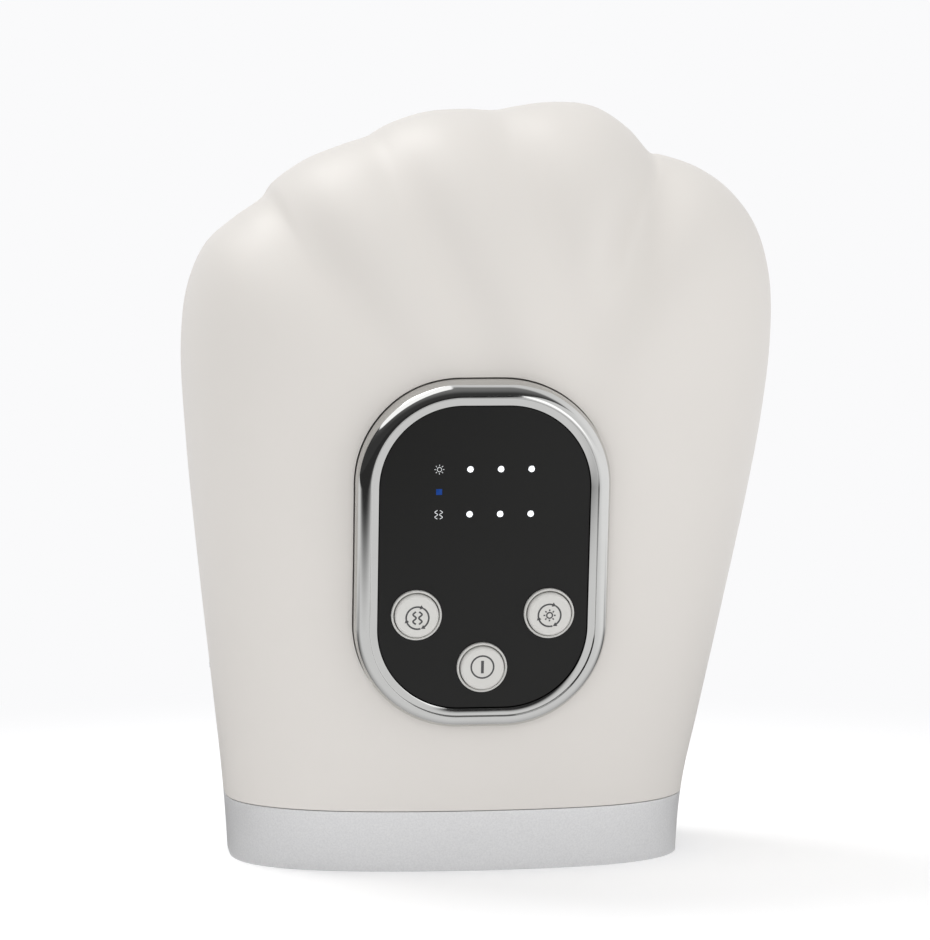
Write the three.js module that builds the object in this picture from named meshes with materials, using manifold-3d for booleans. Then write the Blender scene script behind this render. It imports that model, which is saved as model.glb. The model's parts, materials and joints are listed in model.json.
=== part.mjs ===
// Air compression hand massager: a mitten-shaped housing with finger lobes, standing on its cuff.
// Millimetres, +Z up. X runs across the hand, the control panel faces -Y, the cuff's mouth is at Z = 0.
import * as THREE from 'three';
import { mergeVertices } from 'three/addons/utils/BufferGeometryUtils.js';
import Module from 'manifold-3d';

const wasm = await Module();
wasm.setup();

// Housing
const bodyWidth = 186.5;        // little finger side to thumb side
const bodyHeight = 238;         // cuff's mouth to the highest finger lobe
const frontDepthAtCuff = 44;    // parting plane to the front crown, at the mouth
const frontDepthAtTips = 83;    // the same at full height
const backDepth = 46;           // parting plane to the flat back
const wall = 2.5;
const cuffHeight = 19.2;        // silver band
const crownHeight = 70;         // height of the point that both crowns spring from
const crownOffset = 2;
const frontCrownPower = 2.5;    // superellipse powers of the two crowns
const backCrownPower = 4;
const grooveWidth = 13;         // valleys between the fingers
const grooveFocusX = 10;        // point below the knuckles that the valleys run towards
const grooveFocusZ = 112;
const grooveShares = { start: 0.42, full: 0.9 };
const lobeShares = { start: 0.5, full: 1 };
const calmSpan = 5;             // outline samples averaged where the lobes have died away
const seatGap = 0.3;            // between pieces that meet
const overrun = 40;             // how far a cut runs past what it cuts

// Outline seen from the front: x as a share of bodyWidth, z as a share of bodyHeight,
// from the mouth up the little finger side, over the lobes and down the thumb side.
const outlineShares = [
  [-0.381, 0], [-0.39, 0.099], [-0.408, 0.232], [-0.43, 0.391], [-0.449, 0.55],
  [-0.457, 0.681], [-0.445, 0.759], [-0.414, 0.813], [-0.364, 0.848], [-0.319, 0.873],
  [-0.303, 0.891], [-0.253, 0.92], [-0.189, 0.941], [-0.141, 0.954], [-0.114, 0.967],
  [-0.052, 0.984], [0.016, 0.989], [0.072, 0.988], [0.105, 0.993], [0.17, 0.999],
  [0.235, 0.994], [0.292, 0.967], [0.336, 0.933], [0.353, 0.931], [0.411, 0.916],
  [0.465, 0.888], [0.511, 0.842], [0.536, 0.778], [0.54, 0.698], [0.526, 0.592],
  [0.503, 0.489], [0.461, 0.331], [0.421, 0.186], [0.395, 0.09], [0.385, 0],
];
// The outline closes below the mouth, where it is cut away.
const closingShares = [[0.385, -0.25], [0.32, -0.55], [0.015, -0.63], [-0.306, -0.55], [-0.37, -0.25]];
// Valleys between the lobes: place on the outline and depth as a share of the crown.
const valleyShares = [
  [-0.319, 0.873, 0.1], [-0.141, 0.954, 0.08], [0.072, 0.988, 0.08], [0.345, 0.931, 0.16],
];

// Control panel, in a plane of its own that leans with the crown
const panelTilt = THREE.MathUtils.degToRad(8.5);
const panelX = 1.8;
const panelHeight = 98.1;       // height of the panel's centre
const panelRise = 4.3;          // black face above the crown
const bezelWidth = 76.6;
const bezelLength = 105.7;
const bezelRadius = 31.5;
const bezelBand = 6.5;          // width of the chrome ring
const bezelCrest = 1.2;         // ring's crest above the black face
const bezelSkirt = 13;          // ring's skirt below the face
const skirtWall = 2.2;
// Ring's face from the black face out to the skirt: share of bezelBand, share of bezelCrest
const bezelFaceShares = [
  [1, -1.2], [0.97, -0.1], [0.62, 0.15], [0.55, 0.5], [0.45, 0.9],
  [0.34, 1], [0.2, 0.55], [0.09, -0.6], [0.02, -2.2], [0, -4],
];
const plateThickness = 2;
const carrierDepth = 18;        // back of the carrier below the face
const carrierFloor = 1.6;
const carrierFlange = 6;        // flange outside the bezel
const ledgeWidth = 6;           // carrier's wall under the plate's edge
const controlBoardDrop = 13;    // face to the board's component side
const boardThickness = 1.6;
const postRadius = 2;
const boardMargin = 0.6;        // board edge to the carrier's wall

// Buttons: name, place as a share of the bezel's width and length
const buttonShares = [
  ['pressure', -0.262, -0.163], ['heat', 0.261, -0.162], ['power', 0, -0.318],
];
const collarRadius = 7.6;
const collarWall = 0.7;
const collarProud = 1;
const collarFlange = 1.6;
const collarFlangeThickness = 1;
const capProud = 2.2;
const capFillet = 0.9;
const filletShare = 0.3;        // middle point of the cap's rounded edge
const capFlange = 0.9;
const capFlangeThickness = 1.2;
const buttonTravel = 0.8;
const stemRadius = 1.6;
const switchWidth = 6;
const switchHeight = 3.5;
const plungerRadius = 1.7;
const plungerProud = 1.3;       // plunger above the switch body

// Indicator lights: columns and rows as shares of the bezel's width and length
const lightColumnShares = [-0.06, 0.06, 0.18];
const lightRowShares = [0.127, 0.256];
const blueLightShares = [-0.181, 0.192];
const lightRadius = 0.9;
const lightBar = 3.4;
const lightBarThickness = 1.5;
const blueLightWidth = 1.8;     // square
const ledSize = 1.6;
const ledHeight = 0.8;

// Hand chamber and its soft layers, from the front to the back
const handFront = 16;           // hand space in front of the parting plane
const handDepth = 47;
const handInset = 13.4;         // outline to the hand space
const fingertipRoom = 40;       // end of the hand space to the top of the housing
const linerWall = 1.2;
const upperBagThickness = 8;
const lowerBagThickness = 6;
const heatPadThickness = 1;
const deckThickness = 2;
const bagInset = 14;
const softStart = 26;           // soft layers start above the cuff
const bagSplitShare = 0.607;    // where the palm bag ends and the finger bag starts
const bagSpacing = 14;
const bagEndGap = 4;            // end of the hand space to the end of the finger bag
const lowerBagEndGap = 18;
const nippleRadius = 2.6;
const nippleLength = 4;

// Cuff band and throat
const spigotWall = 1.8;         // inner lip that the shells slide over
const spigotRise = 6;
const spigotDrop = 5;
const throatHeight = 4;         // collar plate above the mouth
const throatThickness = 2;
const throatCorner = 12;
const throatMargin = 15;        // outline to the mouth at its ends

// Case screws, each through a back boss into a front boss
const screwHeights = [36, 148];
const bossRadius = 4;
const screwHeadRadius = 2.6;
const screwHeadHeight = 2.4;
const screwShankRadius = 1.4;
const screwReach = 12;          // shank in front of the parting plane
const screwSeat = 10;           // head's seat behind the parting plane
const bossWall = 1.2;           // end wall of the blind hole

// Feet on the back, which it lies on in use
const footSpread = 88;
const footHeights = [40, 168];
const footRadius = 7;
const footStand = 2.5;
const footSink = 3;
const footPad = 3;

// Equipment in the bay between the crown and the deck
const bayGap = 3;
const motorRadius = 10.2;
const motorLength = 30;
const motorBoss = 3;
const motorBossLength = 2;
const pumpRadius = 11.5;
const pumpLength = 26;
const pumpWall = 1.6;
const pumpX = 15;               // joint between motor and head
const nozzleRadius = 2;
const nozzleLength = 5;
const shaftRadius = 1;
const eccentricRadius = 5;
const eccentricOffset = 1.6;
const eccentricThickness = 4;
const cradleThickness = 2;
const cradleWidth = 14;
const cradleWrap = 6;
const valveWidth = 12;
const valveLength = 18;
const valveWall = 2.4;
const valveGap = 1;             // between the valves
const tubeWay = 7;              // between the motor and the valves, where the palm tube runs
const valvePlungerLength = 11;
const valveTravel = 1.5;
const valveSpout = 3;
const manifoldWidth = 38;
const manifoldDepth = 8;
const manifoldOffset = 3;       // middle of the manifold to the pump's joint
const barbRadius = 1.6;
const barbLength = 3;
const tubeRadius = 2;
const tubeHoleGap = 1.2;        // round a tube or lead where it passes through the deck
const cellWidth = 28;
const cellLength = 48;
const cellDepth = 10;
const trayWall = 1.2;
const trayRise = 6;
const mainBoardWidth = 60;
const mainBoardLength = 40;
const standoffRise = 2;
const standoffRadius = 2.4;
const mainBoardHeight = 70;
const chipSize = 9;
const chipHeight = 1.2;
const connectorDepth = 3;
const connectorHeight = 3;
const ribbonWidth = 10;
const ribbonThickness = 0.6;
const leadRadius = 1.1;
const lightStripHeight = 8;
const lightStripThickness = 1.6;
const lightStripWidth = 84;

// Charging socket in the little finger side of the back shell
const socketHeight = 62;
const socketY = 14;
const socketWidth = 9;
const socketThickness = 3.2;
const socketLength = 7.4;
const socketWall = 0.4;
const socketRecess = 0.6;       // socket's rim below the skin
const chargeBoardLength = 20;
const chargeBoardWidth = 5.6;
const chargeBoardThickness = 1.2;
const chargeBoardGap = 3.1;     // board's edge to the wall, which leans in behind the parting plane
const ribThickness = 1.6;

// Facet counts
const curveSteps = 2;           // samples per outline point
const skinRows = { front: 8, back: 5, skip: 1 };
const liningRows = { front: 5, back: 5, skip: 2 };
const softRows = { front: 4, back: 4, skip: 4 };
const roundSteps = 16;
const smallSteps = 8;
const cornerSteps = 5;
const tubeSides = 6;
const tubeSteps = { pump: 14, finger: 12, back: 20, palm: 18, battery: 5, charge: 16 };

// Finishes
const finish = (color, roughness, metalness = 0) => ({ color, roughness, metalness });
const shellPlastic = finish('#dddbd7', 0.35);
const satinSilver = finish('#c4c5c7', 0.4, 0.6);
const chromePlate = finish('#e6e8ea', 0.08, 1);
const blackGloss = finish('#2a2a28', 0.3);
const capPlastic = finish('#e9e8e5', 0.35);
const greyPlastic = finish('#8d9092', 0.5);
const clearLight = finish('#ffffff', 0.3);
const blueLight = finish('#1c49c8', 0.3);
const boardGreen = finish('#2f6b45', 0.55);
const blackPlastic = finish('#202122', 0.55);
const steel = finish('#b9bcbe', 0.3, 1);
const rubberGrey = finish('#6e7073', 0.85);
const bagFilm = finish('#6f7a80', 0.6);
const cellFoil = finish('#aeb6bd', 0.35, 0.4);
const linerCloth = finish('#4a4c50', 0.9);
const padFoil = finish('#c98a3a', 0.5);
const whitePlastic = finish('#ecebe8', 0.5);
const copperTone = finish('#b8bcc0', 0.4, 0.8);

const massager = new THREE.Group();

// Meshes and solids
function addMesh(group, name, geometry, look) {
  const mesh = new THREE.Mesh(geometry, new THREE.MeshStandardMaterial(look));
  mesh.name = name;
  group.add(mesh);
  return mesh;
}

function solidOf(geometry) {
  const bare = geometry.clone();
  bare.deleteAttribute('normal');
  bare.deleteAttribute('uv');
  const merged = mergeVertices(bare);
  const triVerts = new Uint32Array(merged.index.array);
  const vertProperties = new Float32Array(merged.attributes.position.array);
  return new wasm.Manifold(new wasm.Mesh({ numProp: 3, vertProperties, triVerts }));
}

function geometryOf(solid) {
  const { vertProperties, triVerts } = solid.getMesh();
  const geometry = new THREE.BufferGeometry();
  geometry.setAttribute('position', new THREE.BufferAttribute(new Float32Array(vertProperties), 3));
  geometry.setIndex(new THREE.BufferAttribute(new Uint32Array(triVerts), 1));
  geometry.computeVertexNormals();
  return geometry;
}

const addSolid = (group, name, solid, look) => addMesh(group, name, geometryOf(solid), look);
const joined = (solids) => solids.reduce((sum, solid) => sum.add(solid));
const without = (solid, cuts) => cuts.reduce((rest, cut) => rest.subtract(cut), solid);

// The outline as a closed curve, and the two crowns that spring from it
const outline = new THREE.CatmullRomCurve3(
  [...outlineShares, ...closingShares].map(([x, z]) => new THREE.Vector3(x * bodyWidth, 0, z * bodyHeight)),
  true,
  'centripetal',
);
const outlineRing = outline.getPoints(outline.points.length * curveSteps).slice(0, -1);

// The same outline with its lobes averaged away, which the middle of each crown follows
const calmRing = outlineRing.map((point, i) => {
  const count = outlineRing.length;
  const sum = new THREE.Vector3();
  for (let k = -calmSpan; k <= calmSpan; k += 1) {
    sum.add(outlineRing[(i + k + count) % count]);
  }
  return sum.divideScalar(2 * calmSpan + 1);
});

function insetRing(ring, inset, skip) {
  const count = ring.length;
  return ring.map((point, i) => {
    const along = ring[(i + 1) % count].clone().sub(ring[(i - 1 + count) % count]).normalize();
    return new THREE.Vector3(point.x + along.z * inset, 0, point.z - along.x * inset);
  }).filter((point, i) => i % skip === 0);
}

const frontDepth = (z) => frontDepthAtCuff + (frontDepthAtTips - frontDepthAtCuff) * z / bodyHeight;

// How much the finger valleys lower the front crown at a point
function valleyFactor(x, z) {
  const here = new THREE.Vector2(x - grooveFocusX, z - grooveFocusZ);
  const dips = valleyShares.map(([shareX, shareZ, depth]) => {
    const notch = new THREE.Vector2(shareX * bodyWidth - grooveFocusX, shareZ * bodyHeight - grooveFocusZ);
    const aside = here.cross(notch) / notch.length();
    const along = here.dot(notch) / notch.lengthSq();
    const fade = THREE.MathUtils.smoothstep(along, grooveShares.start, grooveShares.full);
    return depth * fade * Math.exp(-((aside / grooveWidth) ** 2));
  });
  return 1 - Math.max(...dips);
}

// A point of the crown at a turn (0 at the crown, a quarter turn at the rim) towards a rim point
function crownPoint(rimPoint, calmPoint, turn, inset, isFront) {
  const power = isFront ? frontCrownPower : backCrownPower;
  const out = Math.sin(turn) ** (2 / power);
  const rise = Math.max(Math.cos(turn), 0) ** (2 / power);
  const lobes = THREE.MathUtils.smoothstep(out, lobeShares.start, lobeShares.full);
  const target = calmPoint.clone().lerp(rimPoint, lobes);
  const x = crownOffset + (target.x - crownOffset) * out;
  const z = crownHeight + (target.z - crownHeight) * out;
  const depth = isFront ? (frontDepth(z) - inset) * valleyFactor(x, z) : inset - backDepth;
  return new THREE.Vector3(x, -depth * rise, z);
}

// Closed mitten, its outline and its crowns moved in: rings of points from one crown to the other
function mittenSolid(inset, rows, crownInset = inset) {
  const rim = insetRing(outlineRing, inset, rows.skip);
  const calm = insetRing(calmRing, inset, rows.skip);
  const count = rim.length;
  const quarter = Math.PI / 2;
  const rings = [];
  for (let row = 1; row < rows.front; row += 1) {
    const turn = quarter * row / rows.front;
    rings.push(rim.map((point, i) => crownPoint(point, calm[i], turn, crownInset, true)));
  }
  rings.push(rim);
  for (let row = rows.back - 1; row > 0; row -= 1) {
    const turn = quarter * row / rows.back;
    rings.push(rim.map((point, i) => crownPoint(point, calm[i], turn, crownInset, false)));
  }
  const pole = (isFront) => crownPoint(rim[0], calm[0], 0, crownInset, isFront);
  const points = [pole(true), ...rings.flat(), pole(false)];
  const last = points.length - 1;
  const index = [];
  for (let i = 0; i < count; i += 1) {
    const next = (i + 1) % count;
    index.push(0, 1 + next, 1 + i);
    for (let row = 0; row + 1 < rings.length; row += 1) {
      const inner = 1 + row * count;
      const outer = inner + count;
      index.push(inner + i, inner + next, outer + next, inner + i, outer + next, outer + i);
    }
    const end = last - count;
    index.push(end + i, end + next, last);
  }
  const geometry = new THREE.BufferGeometry().setFromPoints(points);
  geometry.setIndex(index);
  return solidOf(geometry);
}

// Where the outline crosses a height, on the little finger side (-1) or the thumb side (1)
function outlineX(height, side) {
  const count = outlineRing.length;
  const crossings = outlineRing.flatMap((point, i) => {
    const next = outlineRing[(i + 1) % count];
    if ((point.z - height) * (next.z - height) > 0 || point.z === next.z) {
      return [];
    }
    return [point.x + (next.x - point.x) * (height - point.z) / (next.z - point.z)];
  });
  return side < 0 ? Math.min(...crossings) : Math.max(...crossings);
}

// Y of the smooth front crown over a point, without the finger valleys
function crownY(x, z) {
  const fromCrown = (point) => new THREE.Vector2(point.x - crownOffset, point.z - crownHeight);
  const here = new THREE.Vector2(x - crownOffset, z - crownHeight);
  const count = calmRing.length;
  const outs = calmRing.map((point, i) => {
    const a = fromCrown(point);
    const b = fromCrown(calmRing[(i + 1) % count]);
    const area = a.cross(b);
    const u = here.cross(b) / area;
    const v = a.cross(here) / area;
    return u >= 0 && v >= 0 ? u + v : Infinity;
  });
  return -frontDepth(z) * (1 - Math.min(...outs) ** frontCrownPower) ** (1 / frontCrownPower);
}

// Plain solids placed by their limits
function boxSolid([x0, y0, z0], [x1, y1, z1]) {
  const box = new THREE.BoxGeometry(x1 - x0, y1 - y0, z1 - z0);
  box.translate((x0 + x1) / 2, (y0 + y1) / 2, (z0 + z1) / 2);
  return solidOf(box);
}

const sideReach = bodyWidth + overrun;
const slab = (y0, y1, z0, z1) => boxSolid([-sideReach, y0, z0], [sideReach, y1, z1]);

// Rod along Y from y0 to y1
function rodY(x, z, y0, y1, radius, steps = smallSteps) {
  const rod = new THREE.CylinderGeometry(radius, radius, y1 - y0, steps);
  rod.translate(x, (y0 + y1) / 2, z);
  return solidOf(rod);
}

// Rod along X from x0 to x1
function rodX(x0, x1, y, z, radius, steps = smallSteps) {
  const rod = new THREE.CylinderGeometry(radius, radius, x1 - x0, steps);
  rod.rotateZ(Math.PI / 2);
  rod.translate((x0 + x1) / 2, y, z);
  return solidOf(rod);
}

// Rod along Z from z0 to z1
function rodZ(x, y, z0, z1, radius, steps = smallSteps) {
  const rod = new THREE.CylinderGeometry(radius, radius, z1 - z0, steps);
  rod.rotateX(Math.PI / 2);
  rod.translate(x, y, (z0 + z1) / 2);
  return solidOf(rod);
}

// Round piece turned about Z from (radius, height) pairs that close on the axis or on themselves
function turned(pairs, steps) {
  const lathe = new THREE.LatheGeometry(pairs.map(([r, h]) => new THREE.Vector2(r, h)), steps);
  lathe.rotateX(Math.PI / 2);
  return lathe;
}

// Soft-cornered rectangle, counter-clockwise, with a matching number of points at every size
function roundedLoop(halfWidth, halfLength, radius) {
  const corners = [[1, 1, 0], [-1, 1, 1], [-1, -1, 2], [1, -1, 3]];
  return corners.flatMap(([sx, sy, turns]) => {
    const points = [];
    for (let i = 0; i <= cornerSteps; i += 1) {
      const angle = (turns + i / cornerSteps) * Math.PI / 2;
      points.push(new THREE.Vector2(
        sx * (halfWidth - radius) + radius * Math.cos(angle),
        sy * (halfLength - radius) + radius * Math.sin(angle),
      ));
    }
    return points;
  });
}

const bezelLoop = (inset) => roundedLoop(bezelWidth / 2 - inset, bezelLength / 2 - inset, bezelRadius - inset);

function circleHole(x, y, radius, steps) {
  const points = [];
  for (let i = 0; i < steps; i += 1) {
    const angle = -2 * Math.PI * i / steps;
    points.push(new THREE.Vector2(x + radius * Math.cos(angle), y + radius * Math.sin(angle)));
  }
  return new THREE.Path(points);
}

// Flat plate from a loop, between two heights
function plateFrom(loop, z0, z1, holes = []) {
  const shape = new THREE.Shape(loop);
  shape.holes.push(...holes);
  const plate = new THREE.ExtrudeGeometry(shape, { depth: z1 - z0, bevelEnabled: false });
  plate.translate(0, 0, z0);
  return plate;
}

// Ring swept round the bezel's outline from a closed profile of (inset, height) pairs
function bezelSweep(profile) {
  const loops = profile.map(([inset, height]) => bezelLoop(inset).map((p) => new THREE.Vector3(p.x, p.y, height)));
  const count = loops[0].length;
  const index = [];
  for (let k = 0; k < loops.length; k += 1) {
    const here = k * count;
    const there = ((k + 1) % loops.length) * count;
    for (let i = 0; i < count; i += 1) {
      const next = (i + 1) % count;
      index.push(here + i, there + next, here + next, here + i, there + i, there + next);
    }
  }
  const ring = new THREE.BufferGeometry().setFromPoints(loops.flat());
  ring.setIndex(index);
  return ring;
}

// Round tube along hand-placed points
function tubeAlong(points, radius, steps) {
  const path = new THREE.CatmullRomCurve3(points.map(([x, y, z]) => new THREE.Vector3(x, y, z)));
  const section = new THREE.Shape();
  section.absarc(0, 0, radius, 0, 2 * Math.PI, false);
  const tube = new THREE.ExtrudeGeometry(section, { steps, extrudePath: path, curveSegments: tubeSides / 2 });
  return solidOf(tube);
}

// Skins used for every layer inside the housing
const skin = mittenSolid(0, skinRows);
const midWall = mittenSolid(wall / 2, liningRows);
const lining = mittenSolid(wall, liningRows);
const clearLining = mittenSolid(wall + seatGap, liningRows);

// Heights of the hand space and its bags
const handTop = bodyHeight - fingertipRoom;
const bagTop = handTop - bagEndGap;
const lowerBagTop = handTop - lowerBagEndGap;
const bagSplit = softStart + (bagTop - softStart) * bagSplitShare;

// Places along Y, from the hand space outwards
const handBack = handDepth - handFront;
const linerFrontY = -handFront - linerWall;
const linerBackY = handBack + linerWall;
const upperBagBackY = linerFrontY - seatGap;
const upperBagFrontY = upperBagBackY - upperBagThickness;
const deckBackY = upperBagFrontY - seatGap;
const deckFrontY = deckBackY - deckThickness;
const padFrontY = linerBackY + seatGap;
const lowerBagFrontY = padFrontY + heatPadThickness + seatGap;
const lowerBagBackY = lowerBagFrontY + lowerBagThickness;
const bayY = deckFrontY - seatGap;
const cuffTop = cuffHeight - seatGap / 2;
const shellStart = cuffHeight + seatGap / 2;
const spigotTop = cuffHeight + spigotRise;

// Panel frame: local z points out of the black face, local y up along it
const panelCentre = new THREE.Vector3(panelX, crownY(panelX, panelHeight) - panelRise, panelHeight);
const panelGroup = new THREE.Group();
panelGroup.position.copy(panelCentre);
panelGroup.rotation.x = Math.PI / 2 + panelTilt;
panelGroup.updateMatrix();
massager.add(panelGroup);
const onPanel = (geometry) => solidOf(geometry.clone().applyMatrix4(panelGroup.matrix));

// Case screw places, close inside the wall
const bossPlaces = screwHeights.flatMap((height) => [-1, 1].map((side) => (
  { x: outlineX(height, side) - side * (wall + bossRadius + seatGap), z: height }
)));

// Feet places
const feet = footHeights.flatMap((height) => [-1, 1].map((side) => (
  { x: crownOffset + side * footSpread / 2, z: height }
)));
const footEndY = backDepth + footStand;
const footSeatY = backDepth - footSink;

// Front shell: crowned half with finger lobes, panel opening and four blind bosses
function makeFrontShell() {
  const half = slab(-frontDepthAtTips - overrun, -seatGap / 2, shellStart, bodyHeight + overrun);
  const opening = onPanel(plateFrom(bezelLoop(-seatGap), -carrierDepth, overrun));
  const bosses = bossPlaces.map(({ x, z }) => (
    rodY(x, z, -frontDepthAtTips, overrun, bossRadius).intersect(midWall)
  ));
  const holes = bossPlaces.map(({ x, z }) => (
    rodY(x, z, -screwReach - bossWall, overrun, screwShankRadius + seatGap)
  ));
  const shell = joined([skin.subtract(lining), ...bosses]).intersect(half);
  addSolid(massager, 'front_shell', without(shell, [opening, ...holes]), shellPlastic);
}

// Charging socket places, shared by the shell's cut, the socket and its board
const socketSkinX = outlineX(socketHeight, -1);
const socketMouthX = socketSkinX + socketRecess;
const chargeBoardX = socketSkinX + wall + chargeBoardGap;
const chargeBoardY = socketY + socketThickness / 2 + seatGap;

// Stadium outline of the socket, centred on its place, swept along X
function socketPrism(grow, x0, x1) {
  const halfWidth = socketWidth / 2 + grow;
  const halfThickness = socketThickness / 2 + grow;
  const loop = roundedLoop(halfThickness, halfWidth, halfThickness);
  const prism = plateFrom(loop, 0, x1 - x0);
  prism.rotateY(Math.PI / 2);
  prism.rotateX(Math.PI / 2);
  prism.translate(x0, socketY, socketHeight);
  return solidOf(prism);
}

// Back shell: flat-backed half with foot recesses, deep screw wells, socket cut and board ribs
function makeBackShell() {
  const half = slab(seatGap / 2, backDepth + overrun, shellStart, bodyHeight + overrun);
  const bosses = bossPlaces.map(({ x, z }) => rodY(x, z, -overrun, backDepth, bossRadius).intersect(midWall));
  const wells = bossPlaces.map(({ x, z }) => (
    rodY(x, z, screwSeat, backDepth + overrun, screwHeadRadius + seatGap)
  ));
  const holes = bossPlaces.map(({ x, z }) => rodY(x, z, -overrun, screwSeat + overrun, screwShankRadius + seatGap));
  const pads = feet.map(({ x, z }) => (
    rodY(x, z, footSeatY - footPad, backDepth + overrun, footRadius + seatGap + ribThickness).intersect(midWall)
  ));
  const recesses = feet.map(({ x, z }) => (
    rodY(x, z, footSeatY - seatGap, backDepth + overrun, footRadius + seatGap, roundSteps)
  ));
  const ribs = [-1, 1].map((side) => {
    const z = socketHeight + side * (chargeBoardLength / 2 - ribThickness);
    return boxSolid(
      [socketSkinX - overrun, chargeBoardY + chargeBoardThickness + seatGap, z - ribThickness / 2],
      [chargeBoardX + chargeBoardWidth, backDepth, z + ribThickness / 2],
    ).intersect(midWall);
  });
  const socketCut = socketPrism(seatGap, socketSkinX - overrun, socketMouthX + socketLength + seatGap);
  const shell = joined([skin.subtract(lining), ...bosses, ...pads, ...ribs]).intersect(half);
  addSolid(massager, 'back_shell', without(shell, [...wells, ...holes, ...recesses, socketCut]), shellPlastic);
}

// Cuff band: silver belt that closes both shells at the mouth, with a lip inside them
function makeCuffRing() {
  const lipStart = cuffHeight - spigotDrop;
  const lipInside = mittenSolid(wall + spigotWall, liningRows);
  const band = skin.intersect(slab(-sideReach, sideReach, 0, cuffTop));
  const lip = clearLining.intersect(slab(-sideReach, sideReach, lipStart, spigotTop));
  const hollow = lining.intersect(slab(-sideReach, sideReach, -overrun, lipStart));
  addSolid(massager, 'cuff_ring', without(joined([band, lip]), [hollow, lipInside]), satinSilver);
}

// Mouth of the hand space: a soft-cornered rectangle through the throat collar
const mouthWidth = -2 * (outlineX(throatHeight, -1) + throatMargin);

function mouthPrism(grow, z0, z1) {
  const loop = roundedLoop(mouthWidth / 2 + grow, handDepth / 2 + grow, throatCorner + grow);
  const prism = plateFrom(loop, z0, z1);
  prism.translate(0, (handBack - handFront) / 2, 0);
  return solidOf(prism);
}

function makeThroatCollar() {
  const plate = clearLining.intersect(slab(-sideReach, sideReach, throatHeight, throatHeight + throatThickness));
  const lip = mouthPrism(throatThickness, throatHeight, cuffHeight - spigotDrop);
  addSolid(massager, 'throat_collar', joined([plate, lip]).subtract(mouthPrism(0, -overrun, overrun)), whitePlastic);
}

// Bezel: convex chrome ring with a skirt through the shell
function makeBezel() {
  const ring = bezelSweep([
    [0, -bezelSkirt],
    [skirtWall, -bezelSkirt],
    [skirtWall, -plateThickness - seatGap],
    [bezelBand, -plateThickness - seatGap],
    ...bezelFaceShares.map(([inset, height]) => [inset * bezelBand, height * bezelCrest]),
  ]);
  addMesh(panelGroup, 'bezel_ring', ring, chromePlate);
}

// Black face with three button holes and seven light holes
const plateInset = bezelBand + seatGap;
const buttons = buttonShares.map(([name, x, y]) => ({ name, x: x * bezelWidth, y: y * bezelLength }));
const whiteLights = lightRowShares.flatMap((row) => lightColumnShares.map((column) => (
  { x: column * bezelWidth, y: row * bezelLength }
)));
const blueLightPlace = { x: blueLightShares[0] * bezelWidth, y: blueLightShares[1] * bezelLength };

function makePlate() {
  const blueHalf = blueLightWidth / 2 + seatGap;
  const blueCorners = [[-1, -1], [-1, 1], [1, 1], [1, -1]].map(([sx, sy]) => (
    new THREE.Vector2(blueLightPlace.x + sx * blueHalf, blueLightPlace.y + sy * blueHalf)
  ));
  const holes = [
    ...buttons.map(({ x, y }) => circleHole(x, y, collarRadius + seatGap, roundSteps)),
    ...whiteLights.map(({ x, y }) => circleHole(x, y, lightRadius + seatGap, smallSteps)),
    new THREE.Path(blueCorners),
  ];
  addMesh(panelGroup, 'panel_plate', plateFrom(bezelLoop(plateInset), -plateThickness, 0, holes), blackGloss);
}

// Carrier: tray behind the shell's opening, its flange shaped by the shell's inner face
const ledgeStart = skirtWall + seatGap;
const trayInset = ledgeStart + ledgeWidth;
const boardInset = trayInset + boardMargin;
const boardBack = -controlBoardDrop - boardThickness;
const trayFloorTop = -carrierDepth + carrierFloor;

function boardPosts() {
  const across = (bezelWidth / 2 - boardInset) - bezelRadius / 2;
  const along = (bezelLength / 2 - boardInset) - bezelRadius / 3;
  return [[-1, -1], [1, -1], [-1, 1], [1, 1]].map(([sx, sy]) => {
    const post = new THREE.CylinderGeometry(postRadius, postRadius, boardBack - seatGap + carrierDepth, smallSteps);
    post.rotateX(Math.PI / 2);
    post.translate(sx * across, sy * along, (boardBack - seatGap - carrierDepth) / 2);
    return onPanel(post);
  });
}

const ribbonSlotY = -bezelLength / 4;

function makeCarrier() {
  const flange = onPanel(plateFrom(bezelLoop(-carrierFlange), -carrierDepth, overrun)).intersect(clearLining);
  const footprint = onPanel(plateFrom(bezelLoop(-seatGap), -bezelSkirt - seatGap, overrun * 2));
  const ledge = onPanel(plateFrom(bezelLoop(ledgeStart), -carrierDepth, -plateThickness - seatGap * 2));
  const pocket = onPanel(plateFrom(bezelLoop(trayInset), trayFloorTop, overrun));
  const slot = new THREE.BoxGeometry(ribbonWidth + seatGap * 2, connectorDepth + seatGap * 2, overrun);
  slot.translate(0, ribbonSlotY, -carrierDepth);
  const tray = without(joined([flange.subtract(footprint), ledge]), [pocket, onPanel(slot)]);
  addSolid(massager, 'panel_carrier', joined([tray, ...boardPosts()]), blackPlastic);
}

// Control board with a light chip under each pin
function makeControlBoard() {
  const board = solidOf(plateFrom(bezelLoop(boardInset), boardBack, -controlBoardDrop));
  const chips = [...whiteLights, blueLightPlace].map(({ x, y }) => boxSolid(
    [x - ledSize / 2, y - ledSize / 2, boardBack + boardThickness / 2],
    [x + ledSize / 2, y + ledSize / 2, -controlBoardDrop + ledHeight],
  ));
  addSolid(panelGroup, 'control_board', joined([board, ...chips]), boardGreen);
}

// Light guides: six clear pins on a stepped bar, and a square blue pin by itself
function pinAt({ x, y }, z0) {
  const pin = new THREE.CylinderGeometry(lightRadius, lightRadius, -z0, smallSteps);
  pin.rotateX(Math.PI / 2);
  pin.translate(x, y, z0 / 2);
  return solidOf(pin);
}

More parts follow.
